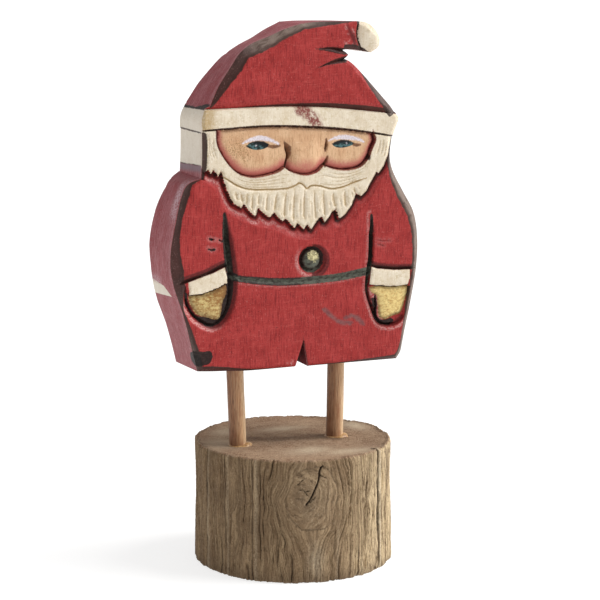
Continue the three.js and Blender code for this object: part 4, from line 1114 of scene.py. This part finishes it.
class PaintedWood(Finish):
    """Hand-brushed paint over carved wood, with painted shade in the cuts, scuffed edges and painted
    highlights on lips.
    """

    def __init__(self):
        super().__init__("painted_wood", 0.55, 0.2)
        self.grain = self.noise((0.6, 0.8, 7), 3, 0.65)
        self.weave = self.noise((5, 2.2, 0.6), 3, 0.65)
        self.blotch = self.noise((8, 8, 8), 4)
        self.mottle = self.noise((2.4, 2, 1.3), 4, 0.65)
        self.speck = self.noise((0.6, 0.6, 0.75), 2)
        self.fleck = self.noise((0.75, 0.9, 0.9), 2)
        self.ragged = self.noise((0.9, 0.9, 0.9), 3)
        self.streak = self.noise((5, 1.1, 6), 3, twist=0.6)
        self.side = self.attribute("side")
        self.tone = self.attribute("tone")

    def uneven(self, name, reach, low=0.2, high=0.8):
        """An attribute, raised and lowered by up to reach."""
        return self.plus(self.attribute(name), self.between(self.ragged, low, high, -reach, reach))

    def area(self, name, width=0.12, rag=0.0, shift=0.0, strength=1.0):
        """The share of a paint with an edge, rag millimetres uneven."""
        value = self.uneven(name, rag) if rag else self.attribute(name)
        return self.between(value, shift - width, shift + width, 0, strength)

    def red(self):
        """Red, brushed up and down over a cross-hatched ground, with darker pores and paler scuffs."""
        return self.layers(
            self.blend(self.blotch, 0.3, 0.7, "#982B29", "#A73735"),
            (self.grain, 0.48, 0.66, 0, 0.65, "#6E181B"), (self.grain, 0.3, 0.42, 0.4, 0, "#BC544E"),
            (self.weave, 0.56, 0.7, 0, 0.35, "#BC564E"), (self.weave, 0.3, 0.42, 0.4, 0, "#7C1F20"),
            (self.speck, 0.6, 0.7, 0, 0.65, "#5A1214"), (self.fleck, 0.63, 0.73, 0, 0.5, "#C8706A"))

    def faded_red_and_sheen(self):
        """The sawn side's red, thin and faded, brushed along, and paler and mauver than the front as painted
        sheen.
        """
        return self.layers(
            self.blend(self.streak, 0.35, 0.65, "#88393E", "#A35D62"),
            (self.noise((5, 9, 30), 4), 0.42, 0.7, 0, 0.7, "#8A2E34"),
            (self.speck, 0.54, 0.7, 0, 0.5, "#66242C"), (self.fleck, 0.6, 0.72, 0, 0.45, "#B9898E"))

    def cream(self):
        """Cream, mottled, with ochre in the hair's cuts as painted shade."""
        paint = self.layers(
            self.blend(self.blotch, 0.3, 0.7, "#D7C8B1", "#E3D7C3"),
            (self.grain, 0.46, 0.7, 0, 0.5, "#C9B894"),
            (self.noise((3.2, 3, 2), 4, 0.65), 0.5, 0.68, 0, 0.5, "#C0AC88"),
            (self.speck, 0.58, 0.72, 0, 0.5, "#B8A680"), (self.fleck, 0.58, 0.72, 0, 0.6, "#F4EEE2"))
        # The cream is greyer on the side and back: painted shade of the side.
        paint = self.mix(self.times(self.side, 0.5), paint, "#D8D0C6")
        return self.layers(paint, (self.uneven("ochre", 0.25, 0, 1), 0.15, 0.95, 0, 0.85, "#AA8C5A"))

    def skin(self):
        """Skin, rosy towards the lower border and with painted shade under the band, and freckled on the left
        cheek.
        """
        freckle = self.plus(self.speck, self.times(self.attribute("freckle"), 0.16))
        return self.layers(
            self.blend(self.blotch, 0.35, 0.65, "#C89E79", "#D6B08B"),
            (self.grain, 0.48, 0.68, 0, 0.6, "#A87C58"), (self.fleck, 0.58, 0.72, 0, 0.45, "#E4C6A6"),
            (freckle, 0.62, 0.72, 0, 0.7, "#85663A"),
            (self.uneven("rose", 0.14), 0.05, 1, 0, 0.92, "#BA655E"))

    def gold(self):
        """The mittens' gold, mottled, browner where tone says so."""
        browner = self.plus(self.tone, self.between(self.mottle, 0.3, 0.7, 0.3, -0.3))
        return self.layers(
            self.blend(self.mottle, 0.3, 0.62, "#C09A5C", "#E4CC8A"),
            (browner, 0.2, 0.9, 0, 0.9, "#98642E"), (self.fleck, 0.55, 0.7, 0, 0.45, "#83754E"),
            (self.attribute("shaded"), 0.2, 1, 0, 0.75, "#5C4630"))

    def rubbed_and_lit(self, base):
        """Scuffed paint and painted highlights are pink on the red and brownish on the cream; smudges and
        painted shadow are grey mauve.
        """
        pink = self.mix(self.side, "#C4908C", "#C4AAB0")
        worn = self.times(self.attribute("worn"), self.between(self.ragged, 0.36, 0.58))
        base = self.mix(self.times(worn, 0.85), base, self.mix(self.area("cream"), pink, "#A87870"))
        cloud = self.between(self.noise((1.8, 1, 0.6), 3), 0.3, 0.6, 0.65, 0.9)
        mauve = self.mix(self.side, self.blend(self.mottle, 0.35, 0.65, "#6C4042", "#7E5856"), "#75656E")
        return self.mix(self.times(self.attribute("haze"), cloud), base, mauve)

    def dark(self, base):
        """Dark red and brown in the cuts as painted shade, the stained edge, and the blackish and greenish
        paint.
        """
        maroon = self.blend(self.ragged, 0.4, 0.6, "#481517", "#68201F")
        base = self.mix(self.area("maroon", 0.55, 0.4, 0.1, 0.9), base, maroon)
        brown = self.blend(self.blotch, 0.3, 0.7, "#2A1815", "#43261F")
        base = self.mix(self.area("umber", 0.2, 0.14, 0, 0.95), base, brown)
        edge = self.layers(
            self.blend(self.tone, 0, 0.5, "#43241F", "#4E423E"), (self.tone, 0.4, 0.75, 0, 1, "#7D7066"),
            (self.streak, 0.5, 0.68, 0, 0.5, "#2E201C"), (self.fleck, 0.56, 0.72, 0, 0.4, "#8C6A66"),
            (self.attribute("stripe"), 0.5, 2.2, 0.8, 0, "#34241F"))
        on_front = self.maths("SUBTRACT", 1, self.side)
        base = self.mix(self.times(self.area("stripe", 0.22, 0.16, 0, 0.96), on_front), base, edge)
        tar = self.blend(self.mottle, 0.4, 0.65, "#191412", "#2E2623")
        green = self.blend(self.mottle, 0.34, 0.62, "#2E312B", "#596054")
        tar = self.mix(self.attribute("green"), tar, green)
        return self.mix(self.area("tar", 0.24, 0.22, 0, 0.97), base, tar)

    def eyes(self, base):
        """Lashes with the painted shade beside the nose, irises with their pupils, brows and glints."""
        lash = self.blend(self.ragged, 0.4, 0.6, "#4C2C1C", "#744226")
        base = self.mix(self.area("lash", 0.35, 0.2, 0, 0.85), base, lash)
        iris = self.blend(self.noise((2, 1, 1.2), 3), 0.42, 0.62, "#1E2A2A", "#4A6A6C")
        base = self.mix(self.area("iris", 0.14), base, self.mix(self.attribute("pupil"), iris, "#12171A"))
        hairs = self.noise((0.8, 0.5, 0.5), 2)
        white = self.plus(self.attribute("white"), self.between(hairs, 0.3, 0.7, -0.25, 0.2))
        lilac = self.blend(hairs, 0.4, 0.6, "#CDC2C9", "#E2DBE2")
        return self.mix(self.between(white, -0.4, 0.5, 0, 0.94), base, lilac)

    def all_paints(self):
        """The paints, one over the other."""
        # The side and back take their own copies of the paints: faded paint with painted sheen and shade.
        base = self.mix(self.side, self.red(), self.faded_red_and_sheen())
        base = self.mix(self.area("cream", 0.1, 0.12), base, self.cream())
        smear = self.times(self.attribute("smear"), self.between(self.fleck, 0.34, 0.5, 0.35, 0.95))
        base = self.mix(smear, base, "#7E3C38")
        base = self.mix(self.area("skin", 0.06), base, self.skin())
        base = self.mix(self.area("gold", 0.4), base, self.gold())
        base = self.dark(self.rubbed_and_lit(base))
        brass = self.blend(self.fleck, 0.4, 0.6, "#857C58", "#D2C898")
        base = self.eyes(self.mix(self.area("brass", 0.5, 1.2, 0, 0.9), base, brass))
        self.bump(self.plus(self.times(self.grain, 0.6), self.times(self.weave, 0.5)), 0.16)
        gloss = self.between(self.grain, 0.3, 0.7, 0.42, 0.6)
        return self.done(base, self.maths("MAXIMUM", gloss, self.attribute("matt")))


def dowel_wood():
    """Dowel wood, waxed, with streaks along it, with painted light on its +X side and painted shade on its -X
    side.
    """
    f = Finish("dowel_wood", 0.5, 0.3)
    streak = f.noise((0.9, 0.9, 22), 4)
    fine = f.noise((0.3, 0.3, 6), 3, 0.6)
    blotch = f.noise((4, 4, 8), 3)
    colour = f.layers(f.blend(streak, 0.35, 0.65, "#D0A880", "#B48660"),
                      (fine, 0.48, 0.68, 0, 0.7, "#80543A"), (blotch, 0.48, 0.7, 0, 0.55, "#9A6444"))
    # Painted light on the +X side and painted shade on the -X side, from the attributes light and dark.
    colour = f.mix(f.attribute("light"), colour, f.blend(fine, 0.45, 0.65, "#E8CCA4", "#B88C64"))
    colour = f.mix(f.attribute("dark"), colour, f.blend(fine, 0.45, 0.65, "#7A5036", "#4E3222"))
    f.bump(f.plus(streak, f.times(fine, 0.7)), 0.25)
    return f.done(colour, f.between(streak, 0.3, 0.7, 0.42, 0.6))


def log_wood():
    """Weathered wood whose grain follows the attribute grain, with painted shade in its cracks and furrows.
    """
    f = Finish("log_wood", 0.85, 0.2)
    where = f.attribute("grain", vector=True)
    broad = f.noise((6, 6, 40), 3, where=where)
    streak = f.noise((1.2, 3, 20), 4, 0.6, where=where)
    fine = f.noise((0.5, 1.2, 5), 4, 0.65, where=where)
    pock = f.noise((0.8, 0.8, 1.1), 3, 0.6)
    blotch = f.noise((12, 12, 20), 4)
    # The attribute light brings painted light to the side towards +X.
    colour = f.mix(f.attribute("light"), f.blend(broad, 0.35, 0.65, "#8E7558", "#A58C6C"), "#DAC29C")
    # The attribute deep darkens the furrows: painted shade.
    colour = f.layers(
        colour, (streak, 0.42, 0.64, 0, 0.7, "#6E573F"), (fine, 0.3, 0.44, 0.55, 0, "#C4AE8C"),
        (fine, 0.52, 0.66, 0, 0.85, "#523D29"), (pock, 0.56, 0.68, 0, 0.6, "#4C3A2A"),
        (pock, 0.3, 0.42, 0.45, 0, "#BCA688"), (blotch, 0.48, 0.72, 0, 0.5, "#6F5A44"),
        (f.attribute("deep"), 0.25, 0.95, 0, 0.8, "#3E2E20"))
    ring = f.noise((1.1, 400, 400), 3, where=f.attribute("rings", vector=True))
    rot = f.noise((3.2, 1.1, 5), 4, 0.7, twist=0.8)
    top = f.layers(f.blend(blotch, 0.35, 0.65, "#91735A", "#A68B70"), (ring, 0.45, 0.62, 0, 0.45, "#7A5A42"),
                   (rot, 0.48, 0.64, 0, 0.75, "#694A34"), (pock, 0.48, 0.64, 0, 0.55, "#C4AE92"))
    colour = f.mix(f.attribute("sawn"), colour, top)
    # Painted shade from the attribute shade.
    colour = f.mix(f.times(f.attribute("shade"), 0.75), colour, "#4C3A2B")
    pale = f.times(f.attribute("pale"), f.between(pock, 0.35, 0.6, 1, 0.45))
    # The attribute crack darkens the cracks nearly to black, mostly painted shade in them.
    colour = f.layers(f.mix(pale, colour, "#CFBFA4"), (f.attribute("crack"), 0.15, 0.85, 0, 0.93, "#221812"))
    f.bump(f.plus(f.times(streak, 0.6), f.times(fine, 0.8)), 0.8)
    return f.done(colour)


def glue():
    """Dried squeeze-out round the foot of a dowel."""
    f = Finish("dried_glue", 0.35, 0.5)
    return f.done(f.blend(f.noise((1.5, 1.5, 1.5), 2), 0.4, 0.6, "#C09A66", "#A0744A"))


# The log's rim, as the solid has it: lobes, share of the radius, phase. Tapers and worn edges in millimetres.
LOG_LOBES = [[2, 0.006, 2.4], [3, 0.006, 6], [5, 0.004, 4.8], [9, 0.003, 3.6]]
LOG_TAPER = 0.4
LOG_TOP_EDGE = 1
LOG_BOTTOM_EDGE = 0.9
# Weathered furrows: width, length and depth in millimetres, then the seed.
FURROWS = [[3.4, 90, 0.8, 41], [1.6, 60, 0.6, 42], [0.9, 30, 0.4, 40]]
FISSURES = 130
# Drying cracks by degrees round from the front towards +X: half width and depth in millimetres, and how far
# up and down they run as shares of the height. The one at the back is on the seam, once for each side of it.
CRACKS = [[37.3, 1.35, 4.6, -0.1, 1.1], [-45.4, 0.7, 1.3, -0.1, 1.1], [2, 0.4, 1, -0.1, 0.5],
          [-65, 0.6, 1.2, -0.1, 1.1], [-83, 0.6, 1.4, -0.1, 1.1], [18, 0.4, 1, -0.1, 0.3],
          [118, 1.1, 3.6, -0.1, 1.1], [-140, 1, 3, -0.1, 1.1], [180, 1.2, 3, -0.1, 1.1],
          [-180, 1.2, 3, -0.1, 1.1]]
KNOT = [-10.6, 47.4]  # degrees and millimetres up
KNOT_SIZE = [14.2, 17.6]  # half width and half height, millimetres
# The knot's checks by degrees and millimetres up. The first is the long, deep one.
KNOT_CRACKS = [[[-5, 64.3], [-6.8, 62.2], [-7.9, 55.7], [-11.9, 47.2], [-14.7, 43.5]],
               [[-19.2, 58.4], [-15.3, 60.5]], [[-18.1, 51.8], [-11.3, 50.5]], [[-3.3, 57.6], [-7.9, 60.1]],
               [[-20.3, 46.9], [-11.6, 46.6]], [[-19.4, 54.6], [-15.6, 57.8]], [[-16.8, 52.4], [-13.6, 48.4]],
               [[-12.4, 44.6], [-9.4, 47.6]]]


def log_radius(angle):
    """The log's radius in millimetres at an angle from +X."""
    return LOG_RADIUS * (1 + sum(size * np.cos(n * angle + phase) for n, size, phase in LOG_LOBES))


def log_relief(azimuth, z):
    """How far the weathered side lies below the log's round form, how dark its cracks and furrows are, the
    cracks' pale lips and the place that the grain is read at, by degrees round and millimetres up."""
    arc = np.radians(azimuth) * LOG_RADIUS
    flat = np.column_stack([arc, z])
    u = (arc - math.radians(KNOT[0]) * LOG_RADIUS) / KNOT_SIZE[0] + 0.1 * rough(flat, (9, 11), 47)
    v = (z - KNOT[1]) / KNOT_SIZE[1] + 0.1 * rough(flat, (9, 11), 48)
    r = most(np.hypot(u, v), 0.05)
    in_knot = r < 1
    # The grain runs up the side and bends round the knot.
    bend = 1 - 0.6 * bell((r - 1) / 0.5)
    psi = np.where(in_knot, (r - 1) * 5 + 4 * u, u * bend * KNOT_SIZE[0] + 0.35 * rough(flat, (30, 40), 49))
    # Rounded ridges of weathered grain with narrow furrows between them, all below the round form.
    # deep and crack say how far the paint darkens the furrows and cracks: painted shade in them.
    sink, deep, crack, lip = np.zeros((4, len(arc)))
    for width, length, depth, seed in FURROWS:
        furrow = (1 - np.abs(rough(np.column_stack([psi, z]), (width, length), seed, 1))) ** 4
        calm = 1 - 0.45 * bell((r - 1) / 0.7)
        sink += depth * furrow * np.where(in_knot, 0.3, calm)
        deep += depth * 0.45 * furrow * np.where(in_knot, 0.5, calm)
    sink += np.clip(0.35 * (1 + rough(flat, (16, 40), 43)), 0, 1)
    sink += 0.18 * np.abs(rough(flat, (1.4, 1.8), 39))
    # Long fissures that follow the grain.
    random = np.random.default_rng(44)
    for _ in range(FISSURES):
        at, middle, half = random.uniform(-172, 172), random.uniform(0, LOG_TOP), random.uniform(8, 36)
        width, depth = random.uniform(0.3, 0.9), random.uniform(0.4, 1.4)
        drift = 0.8 * np.sin(z / random.uniform(9, 24) + random.uniform(0, 6))
        fade = 1 - ease(np.abs(z - middle), half * 0.4, half)
        into = np.clip(1 - np.abs(psi + drift - at) / width, 0, 1) * fade
        sink = most(sink, sink + depth * into)
        crack = most(crack, into * depth * 0.6)
    # The deep drying cracks, each with a pale lip at its right.
    for at, half_width, depth, low, high in CRACKS:
        column = np.column_stack([z, 0 * z + at])
        width = half_width * (1 + 0.3 * rough(column, (7, 1), 46))
        beyond = np.radians(azimuth - at) * LOG_RADIUS + 0.5 * rough(column, (13, 1), 45)
        fade = hill(z / LOG_TOP, low, low + 0.1, high - 0.1, high)
        into = np.clip(1 - np.abs(beyond) / width, 0, 1) * fade
        sink = most(sink, depth * into**0.7)
        crack = most(crack, into**0.5 * min(1, 0.45 + depth / 6))
        lip = most(lip, hill(beyond, 0.8, 1.4, 2.2, 3.6) * fade * min(1, depth / 4))
    # The knot: a grooved border, faint rings and checks.
    border_gap = np.abs(r - 1) * min(KNOT_SIZE)
    sink += 0.4 * bell(border_gap / 1.2) * (0.6 + 0.4 * (u > 0))
    sink += np.where(in_knot, 0.1 * np.cos(r * 30) + 0.1, 0)
    dashes = ease(rough(flat, (3, 3), 60), -0.5, 0.5)
    crack = most(crack, 0.45 * dashes * bell(border_gap / 0.7) * ease(u - v, -0.8, 0.6))
    for number, line in enumerate(KNOT_CRACKS):
        width, depth, darkness = (0.75, 2.4, 1) if number == 0 else (0.5, 1.3, 0.75)
        drawn = smooth([[math.radians(a) * LOG_RADIUS, b] for a, b in line], 1)
        gap = nearest(flat, drawn, 4)[0] + 0.15 * rough(flat, (1.5, 1.5), 38)
        into = np.clip(1 - gap / width, 0, 1)
        sink = most(sink, depth * into)
        crack = most(crack, into**0.6 * darkness)
    grain_place = np.column_stack([psi, np.where(in_knot, 40 + r * 4, 0), z]) * MM
    return sink, crack, deep, lip, grain_place


LOG_COLUMNS = 900
LOG_ROWS = 84
SOCKET_DEPTH = 16.3
PITH = [8, -6]
# Soft patches: place in millimetres on the top, then reach along and across.
TOP_PALE = [[-2.7, -31.4, 13, 8], [43.5, 13.2, 6, 11], [18, -40, 16, 6], [2, 22, 14, 5], [-42, 2, 11, 13],
            [-30, 26, 9, 9]]
# Where a dowel's painted shadow runs across the top, in millimetres.
TOP_CAST_SHADOW = [[-22, 5], [-8, 0], [6, -4], [21, -9]]


def log_side():
    """The side as rings of points from the underside up, and its degrees, heights and weathering."""
    near_top = [LOG_TOP - h for h in (1.3, 0.85, 0.42, 0)]
    heights = [0, 0.3, 0.6, 0.9, *np.linspace(1.6, LOG_TOP - 1.9, LOG_ROWS), *near_top]
    azimuth = np.tile(-180 + 360 * np.arange(LOG_COLUMNS) / LOG_COLUMNS, len(heights))
    z = np.repeat(heights, LOG_COLUMNS)
    sink, *weathering = log_relief(azimuth, z)
    inset = LOG_TAPER * z / LOG_TOP + LOG_BOTTOM_EDGE * (1 - np.clip(z / LOG_BOTTOM_EDGE, 0, 1))
    rim = np.column_stack([azimuth, 0 * azimuth])
    top_wear = 0.8 + 0.5 * rough(rim, (5, 1), 51) + 1.4 * ease(rough(rim, (2.2, 1), 50), 0.35, 0.7)
    inset = inset + LOG_TOP_EDGE * top_wear * np.clip((z - (LOG_TOP - 1.5)) / 1.5, 0, 1) ** 1.5
    low_wear = ease(rough(rim, (3, 1), 57), 0.3, 0.7)
    inset = inset + 1.2 * low_wear * fall(z, 0.5, 3.5)
    angle = np.radians(azimuth - 90)
    radius = log_radius(angle) - inset - sink
    return np.column_stack([radius * np.cos(angle), radius * np.sin(angle), z]), azimuth, weathering


def log_top(ring, bores):
    """The sawn top inside its ring, in the flat, with a hole for each leg, and the triangles that fill it."""
    loose = hexagons(1.15, (-58, -58), (58, 58))
    loose += np.random.default_rng(52).uniform(-0.2, 0.2, loose.shape)
    holes = [circle(40) * (LEG_RADIUS + GLUE_GAP) / MM + centre for centre in bores]
    top, faces = triangulate(ring, [closed(ring), *holes], loose, 0.5)
    faces = faces[~np.any([inside(top[faces].mean(1), hole[:-1]) for hole in holes], axis=0)]
    return top, turned(top, faces)


def log_top_height(top, bores):
    """The top's height, with the saw's marks and shallow dips, flat round the legs' sockets."""
    saw = 0.14 * rough(top @ np.array([[0.8, 0.6], [-0.6, 0.8]]), (0.9, 14), 53)
    dip = 0.3 + 0.2 * rough(top, (14, 14), 54) + 0.1 * rough(top, (2.5, 2.5), 56)
    rim_gap = log_radius(np.arctan2(top[:, 1], top[:, 0])) - np.hypot(*top.T)
    hole_gap = least(*(apart(top, centre) for centre in bores))
    height = LOG_TOP - (np.abs(saw) + dip) * ease(rim_gap, 1, 5)
    return np.where(hole_gap < LEG_RADIUS / MM + 1, LOG_TOP - 0.3, height)


def whole_log(bores):
    """The log's side, its sawn top with the legs' sockets and its flat underside, as one closed surface."""
    side, azimuth, weathering = log_side()
    count, n = len(side), LOG_COLUMNS
    top, top_faces = log_top(side[-n:, :2], bores)
    index, inner = joined(top, side[-n:, :2], count)
    verts = [side, np.column_stack([top[inner], log_top_height(top[inner], bores)])]
    faces = []
    for row in range(count // n - 1):
        low = row * n + np.arange(n)
        faces += wall(low, low + n)
    faces += index[top_faces].tolist()
    total = count + len(inner)
    # Each socket goes down from its hole to a flat floor.
    for centre in bores:
        on_edge = np.flatnonzero(abs(apart(top, centre) - (LEG_RADIUS + GLUE_GAP) / MM) < 0.05)
        order = on_edge[np.argsort(np.arctan2(*(top[on_edge] - centre).T[::-1]))]
        m = len(order)
        verts.append(np.column_stack([top[order], np.full(m, LOG_TOP - SOCKET_DEPTH)]))
        verts.append(np.array([[*centre, LOG_TOP - SOCKET_DEPTH]]))
        for i in range(m):
            j = (i + 1) % m
            faces.append([int(index[order[j]]), int(index[order[i]]), total + i, total + j])
            faces.append([total + j, total + i, total + m])
        total += m + 1
    # The underside is one flat fan.
    verts.append(np.array([[0, 0, 0.0]]))
    faces += [[(i + 1) % n, i, total] for i in range(n)]
    verts = np.vstack(verts)
    return verts * MM, faces, log_attributes(verts, azimuth, weathering)


def log_attributes(verts, azimuth, weathering):
    """What the log's wood needs to know at each of its vertices. The side's come first."""
    crack, deep, lip, grain = weathering
    count = len(azimuth)
    z = verts[:count, 2]

    def padded(values, rest=0.0):
        return np.concatenate([values, np.full(len(verts) - count, float(rest))])

    flat, h = verts[:, :2], verts[:, 2]
    bend = 1 + 0.05 * rough(flat, (20, 20), 55)
    rings = np.column_stack([apart(flat, PITH) * bend, 0 * bend, 0 * bend]) * MM
    above = np.arange(len(verts)) >= count - LOG_COLUMNS
    a = padded(azimuth)
    # Painted shadow of a dowel across the top, and the top darker towards +X.
    shadow_gap = nearest(flat, smooth(TOP_CAST_SHADOW, 1), 12)[0] + 1.5 * rough(flat, (5, 5), 58)
    on_top = 0.6 * fall(shadow_gap, 2.5, 7) * above + 0.3 * ease(flat[:, 0], 12, 42)
    # Painted shade on the side from the front round towards -X, and in the lowest 9 mm near the floor.
    low_left = (0.12 * ease(-a, 25, 85) + 0.2 * fall(a, 2, 16)) * ease(a, -170, -110)
    # Painted light on the side from a little right of the front round towards +X.
    light = azimuth + 4 * rough(verts[:count, [0, 2]], (8, 20), 59)
    pale = 0.5 * bell((azimuth + 9) / 4.5, (z - 12) / 9) + 0.7 * lip
    pale = padded(pale + 0.14 * bell((azimuth - KNOT[0]) / 13, (z - KNOT[1]) / 17))
    for x, y, wide, high in TOP_PALE:
        pale = most(pale, 0.8 * bell((flat[:, 0] - x) / wide, (flat[:, 1] - y) / high) * above)
    return {
        "sawn": padded(ease(z, LOG_TOP - 1.2, LOG_TOP - 0.2), 1), "deep": padded(deep),
        "crack": padded(crack * (1 - 0.4 * ease(z, LOG_TOP - 0.6, LOG_TOP))),
        "grain": np.vstack([grain, verts[count:] * MM]), "rings": rings,
        "shade": np.where(above, on_top, low_left + 0.45 * fall(h, 1, 9)),
        "light": padded(ease(light, 4, 38) * fall(azimuth, 62, 120)), "pale": np.clip(pale, 0, 1),
    }


def leg_frame(node):
    """A leg's foot and head on its axis, from its solid's box."""
    low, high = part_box(node)
    ends = [low.x + LEG_RADIUS, high.x - LEG_RADIUS]
    bottom_x, top_x = ends[::-1] if node.startswith("left") else ends
    y = (low.y + high.y) / 2
    return Vector((bottom_x, y, low.z)), Vector((top_x, y, high.z))


def leg_at_top(node):
    """Where a leg's axis passes the log's top."""
    foot, head = leg_frame(node)
    return foot.lerp(head, (LOG_TOP * MM - foot.z) / (head.z - foot.z))


def dowel(name, node, material, seed):
    """A turned dowel with a few flats and dents, from the log's socket to the figure's."""
    foot, head = leg_frame(node)
    along = (head - foot).normalized()
    across = Vector((0, 1, 0)).cross(along).normalized()
    third = np.array(along.cross(across))
    sides, rows = 56, 90
    length = (head - foot).length
    turn = np.tile(np.arange(sides), rows) * 2 * np.pi / sides
    run = np.repeat(np.linspace(0, 1, rows), sides)
    flat = np.column_stack([turn * 4.7, run * length / MM])
    dents = 0.05 + 0.07 * rough(flat, (4, 16), seed) + 0.04 * rough(flat, (1, 7), seed + 1)
    radius = LEG_RADIUS - most(dents, 0) * MM
    base = np.array(foot) + run[:, None] * np.array(along) * length
    out = np.cos(turn)[:, None] * np.array(across) + np.sin(turn)[:, None] * third
    verts = base + radius[:, None] * out
    loop = np.arange(sides)
    faces = []
    for row in range(rows - 1):
        faces += wall(row * sides + loop, (row + 1) * sides + loop, mirrored=True)
    faces += [loop.tolist(), ((rows - 1) * sides + loop)[::-1].tolist()]
    # Painted light round the dowel's +X side and painted shade round its -X side.
    attributes = {"dark": 0.75 * ease(-np.cos(turn), -0.3, 0.9), "light": 0.85 * ease(np.cos(turn), 0, 0.8)}
    return build_mesh(name, verts, faces, attributes, material, 40)


def glue_bead(name, node, material, seed):
    """Glue squeezed out beside a dowel's foot: a low ring that swells on its right."""
    centre = leg_at_top(node)
    around, across = 48, 10
    verts, faces = [], []
    phase = np.random.default_rng(seed).uniform(0, 6, 3)
    for i in range(around):
        a = 2 * math.pi * i / around
        swell = max(0.0, math.cos(a + 0.35)) ** 2
        width = 0.8 + 2.2 * swell + 0.25 * math.sin(3 * a + phase[0]) + 0.15 * math.sin(7 * a + phase[1])
        height = 0.6 + 1.2 * swell + 0.12 * math.sin(5 * a + phase[2])
        inner = LEG_RADIUS / MM - 0.1
        profile = [(inner + (width + 0.1) * t, height * math.sqrt(max(0.0, 1 - t * t)) - 0.45)
                   for t in np.arange(across) / (across - 1)]
        for r, h in (*profile, (inner, -0.8)):
            x, y = centre.x + r * MM * math.cos(a), centre.y + r * MM * math.sin(a)
            verts.append([x, y, (LOG_TOP + h) * MM])
    loop = np.arange(across + 1)
    for i in range(around):
        faces += wall(i * len(loop) + loop, (i + 1) % around * len(loop) + loop)
    return build_mesh(name, np.array(verts), faces, {}, material, 70)


def bore(figure):
    """Cuts the legs' sockets into the figure's hem."""
    radius, depth = LEG_RADIUS + GLUE_GAP, 20 * MM + 2 * GLUE_GAP
    for node in ("left_leg_dowel", "right_leg_dowel"):
        foot, head = leg_frame(node)
        along = (head - foot).normalized()
        bpy.ops.mesh.primitive_cylinder_add(vertices=40, radius=radius, depth=depth)
        cutter = bpy.context.object
        cutter.data.transform(along.to_track_quat("Z", "Y").to_matrix().to_4x4())
        cutter.data.transform(Matrix.Translation(head - along * 10 * MM))
        modifier = figure.modifiers.new("socket", "BOOLEAN")
        modifier.operation = "DIFFERENCE"
        modifier.solver = "EXACT"
        modifier.object = cutter
        graph = bpy.context.evaluated_depsgraph_get()
        made = bpy.data.meshes.new_from_object(figure.evaluated_get(graph))
        figure.modifiers.clear()
        figure.data = made
        bpy.data.objects.remove(cutter)


CAMERA_PLACE = (-0.4255, -1.0532, 0.3426)
CAMERA_DOWN = 9.883  # degrees below level
CAMERA_TURN = -22.199  # degrees round from the front, towards the figure's right as seen
CAMERA_LENS = 126


def camera():
    """The photograph's viewpoint: from the left of the front, a little above."""
    data = bpy.data.cameras.new("camera")
    data.lens = CAMERA_LENS
    data.sensor_width = 36
    data.clip_end = 100
    made = bpy.data.objects.new("camera", data)
    made.location = CAMERA_PLACE
    made.rotation_euler = (math.radians(90 - CAMERA_DOWN), 0, math.radians(CAMERA_TURN))
    bpy.context.scene.collection.objects.link(made)
    bpy.context.scene.camera = made


SURROUND = (1, 0.995, 0.985, 1)
SURROUND_STRENGTH = 0.5
FLOOR_SIZE = 24
FLOOR_GLOW = 0.72
# Each light's name and energy, degrees up and degrees round from the front towards +X.
LIGHTS = [["window", 2.95, 46, 70], ["low_window", 0.8, 12, 78]]
LIGHT_WIDTH = 36  # degrees


def studio():
    """A pale floor, a pale surround, a broad soft light from the right and a weak one low beside it."""
    scene = bpy.context.scene
    scene.view_settings.view_transform = "Standard"
    world = bpy.data.worlds.new("studio")
    scene.world = world
    world.use_nodes = True
    background = world.node_tree.nodes["Background"]
    background.inputs["Color"].default_value = SURROUND
    background.inputs["Strength"].default_value = SURROUND_STRENGTH
    for name, energy, height, azimuth in LIGHTS:
        lamp = bpy.data.lights.new(name, "SUN")
        lamp.angle = math.radians(LIGHT_WIDTH)
        lamp.energy = energy
        made = bpy.data.objects.new(name, lamp)
        made.rotation_euler = (math.radians(90 - height), 0, math.radians(azimuth))
        scene.collection.objects.link(made)
    bpy.ops.mesh.primitive_plane_add(size=FLOOR_SIZE)
    floor = bpy.context.object
    floor.name = "floor"
    f = Finish("pale_floor", 0.9, 0.1)
    f.shader.inputs["Emission Color"].default_value = (1, 1, 1, 1)
    f.shader.inputs["Emission Strength"].default_value = FLOOR_GLOW
    floor.data.materials.append(f.done(f.blend(f.noise((60, 60, 60), 2), 0.3, 0.7, "#A9A9A8", "#ABABAB")))


def santa():
    """All pieces of the object, each riding on the part's one body; the figure, the legs and the log stand
    for their solids.
    """
    wood = dowel_wood()
    figure = build_mesh("painted_figure", *whole_figure(), PaintedWood().all_paints(), 42)
    bore(figure)
    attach(figure, "root")
    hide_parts("carved_figure")
    bores = []
    for number, side in enumerate(("left", "right")):
        node = side + "_leg_dowel"
        leg = dowel(side + "_leg", node, wood, 61 + 3 * number)
        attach(leg, "root")
        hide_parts(node)
        bores.append(np.array(leg_at_top(node)[:2]) / MM)
        bead = glue_bead(side + "_glue_bead", node, glue(), 71 + number)
        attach(bead, "root")
    log = build_mesh("weathered_log", *whole_log(bores), log_wood(), 60)
    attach(log, "root")
    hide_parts("log_base")


camera()
studio()
santa()
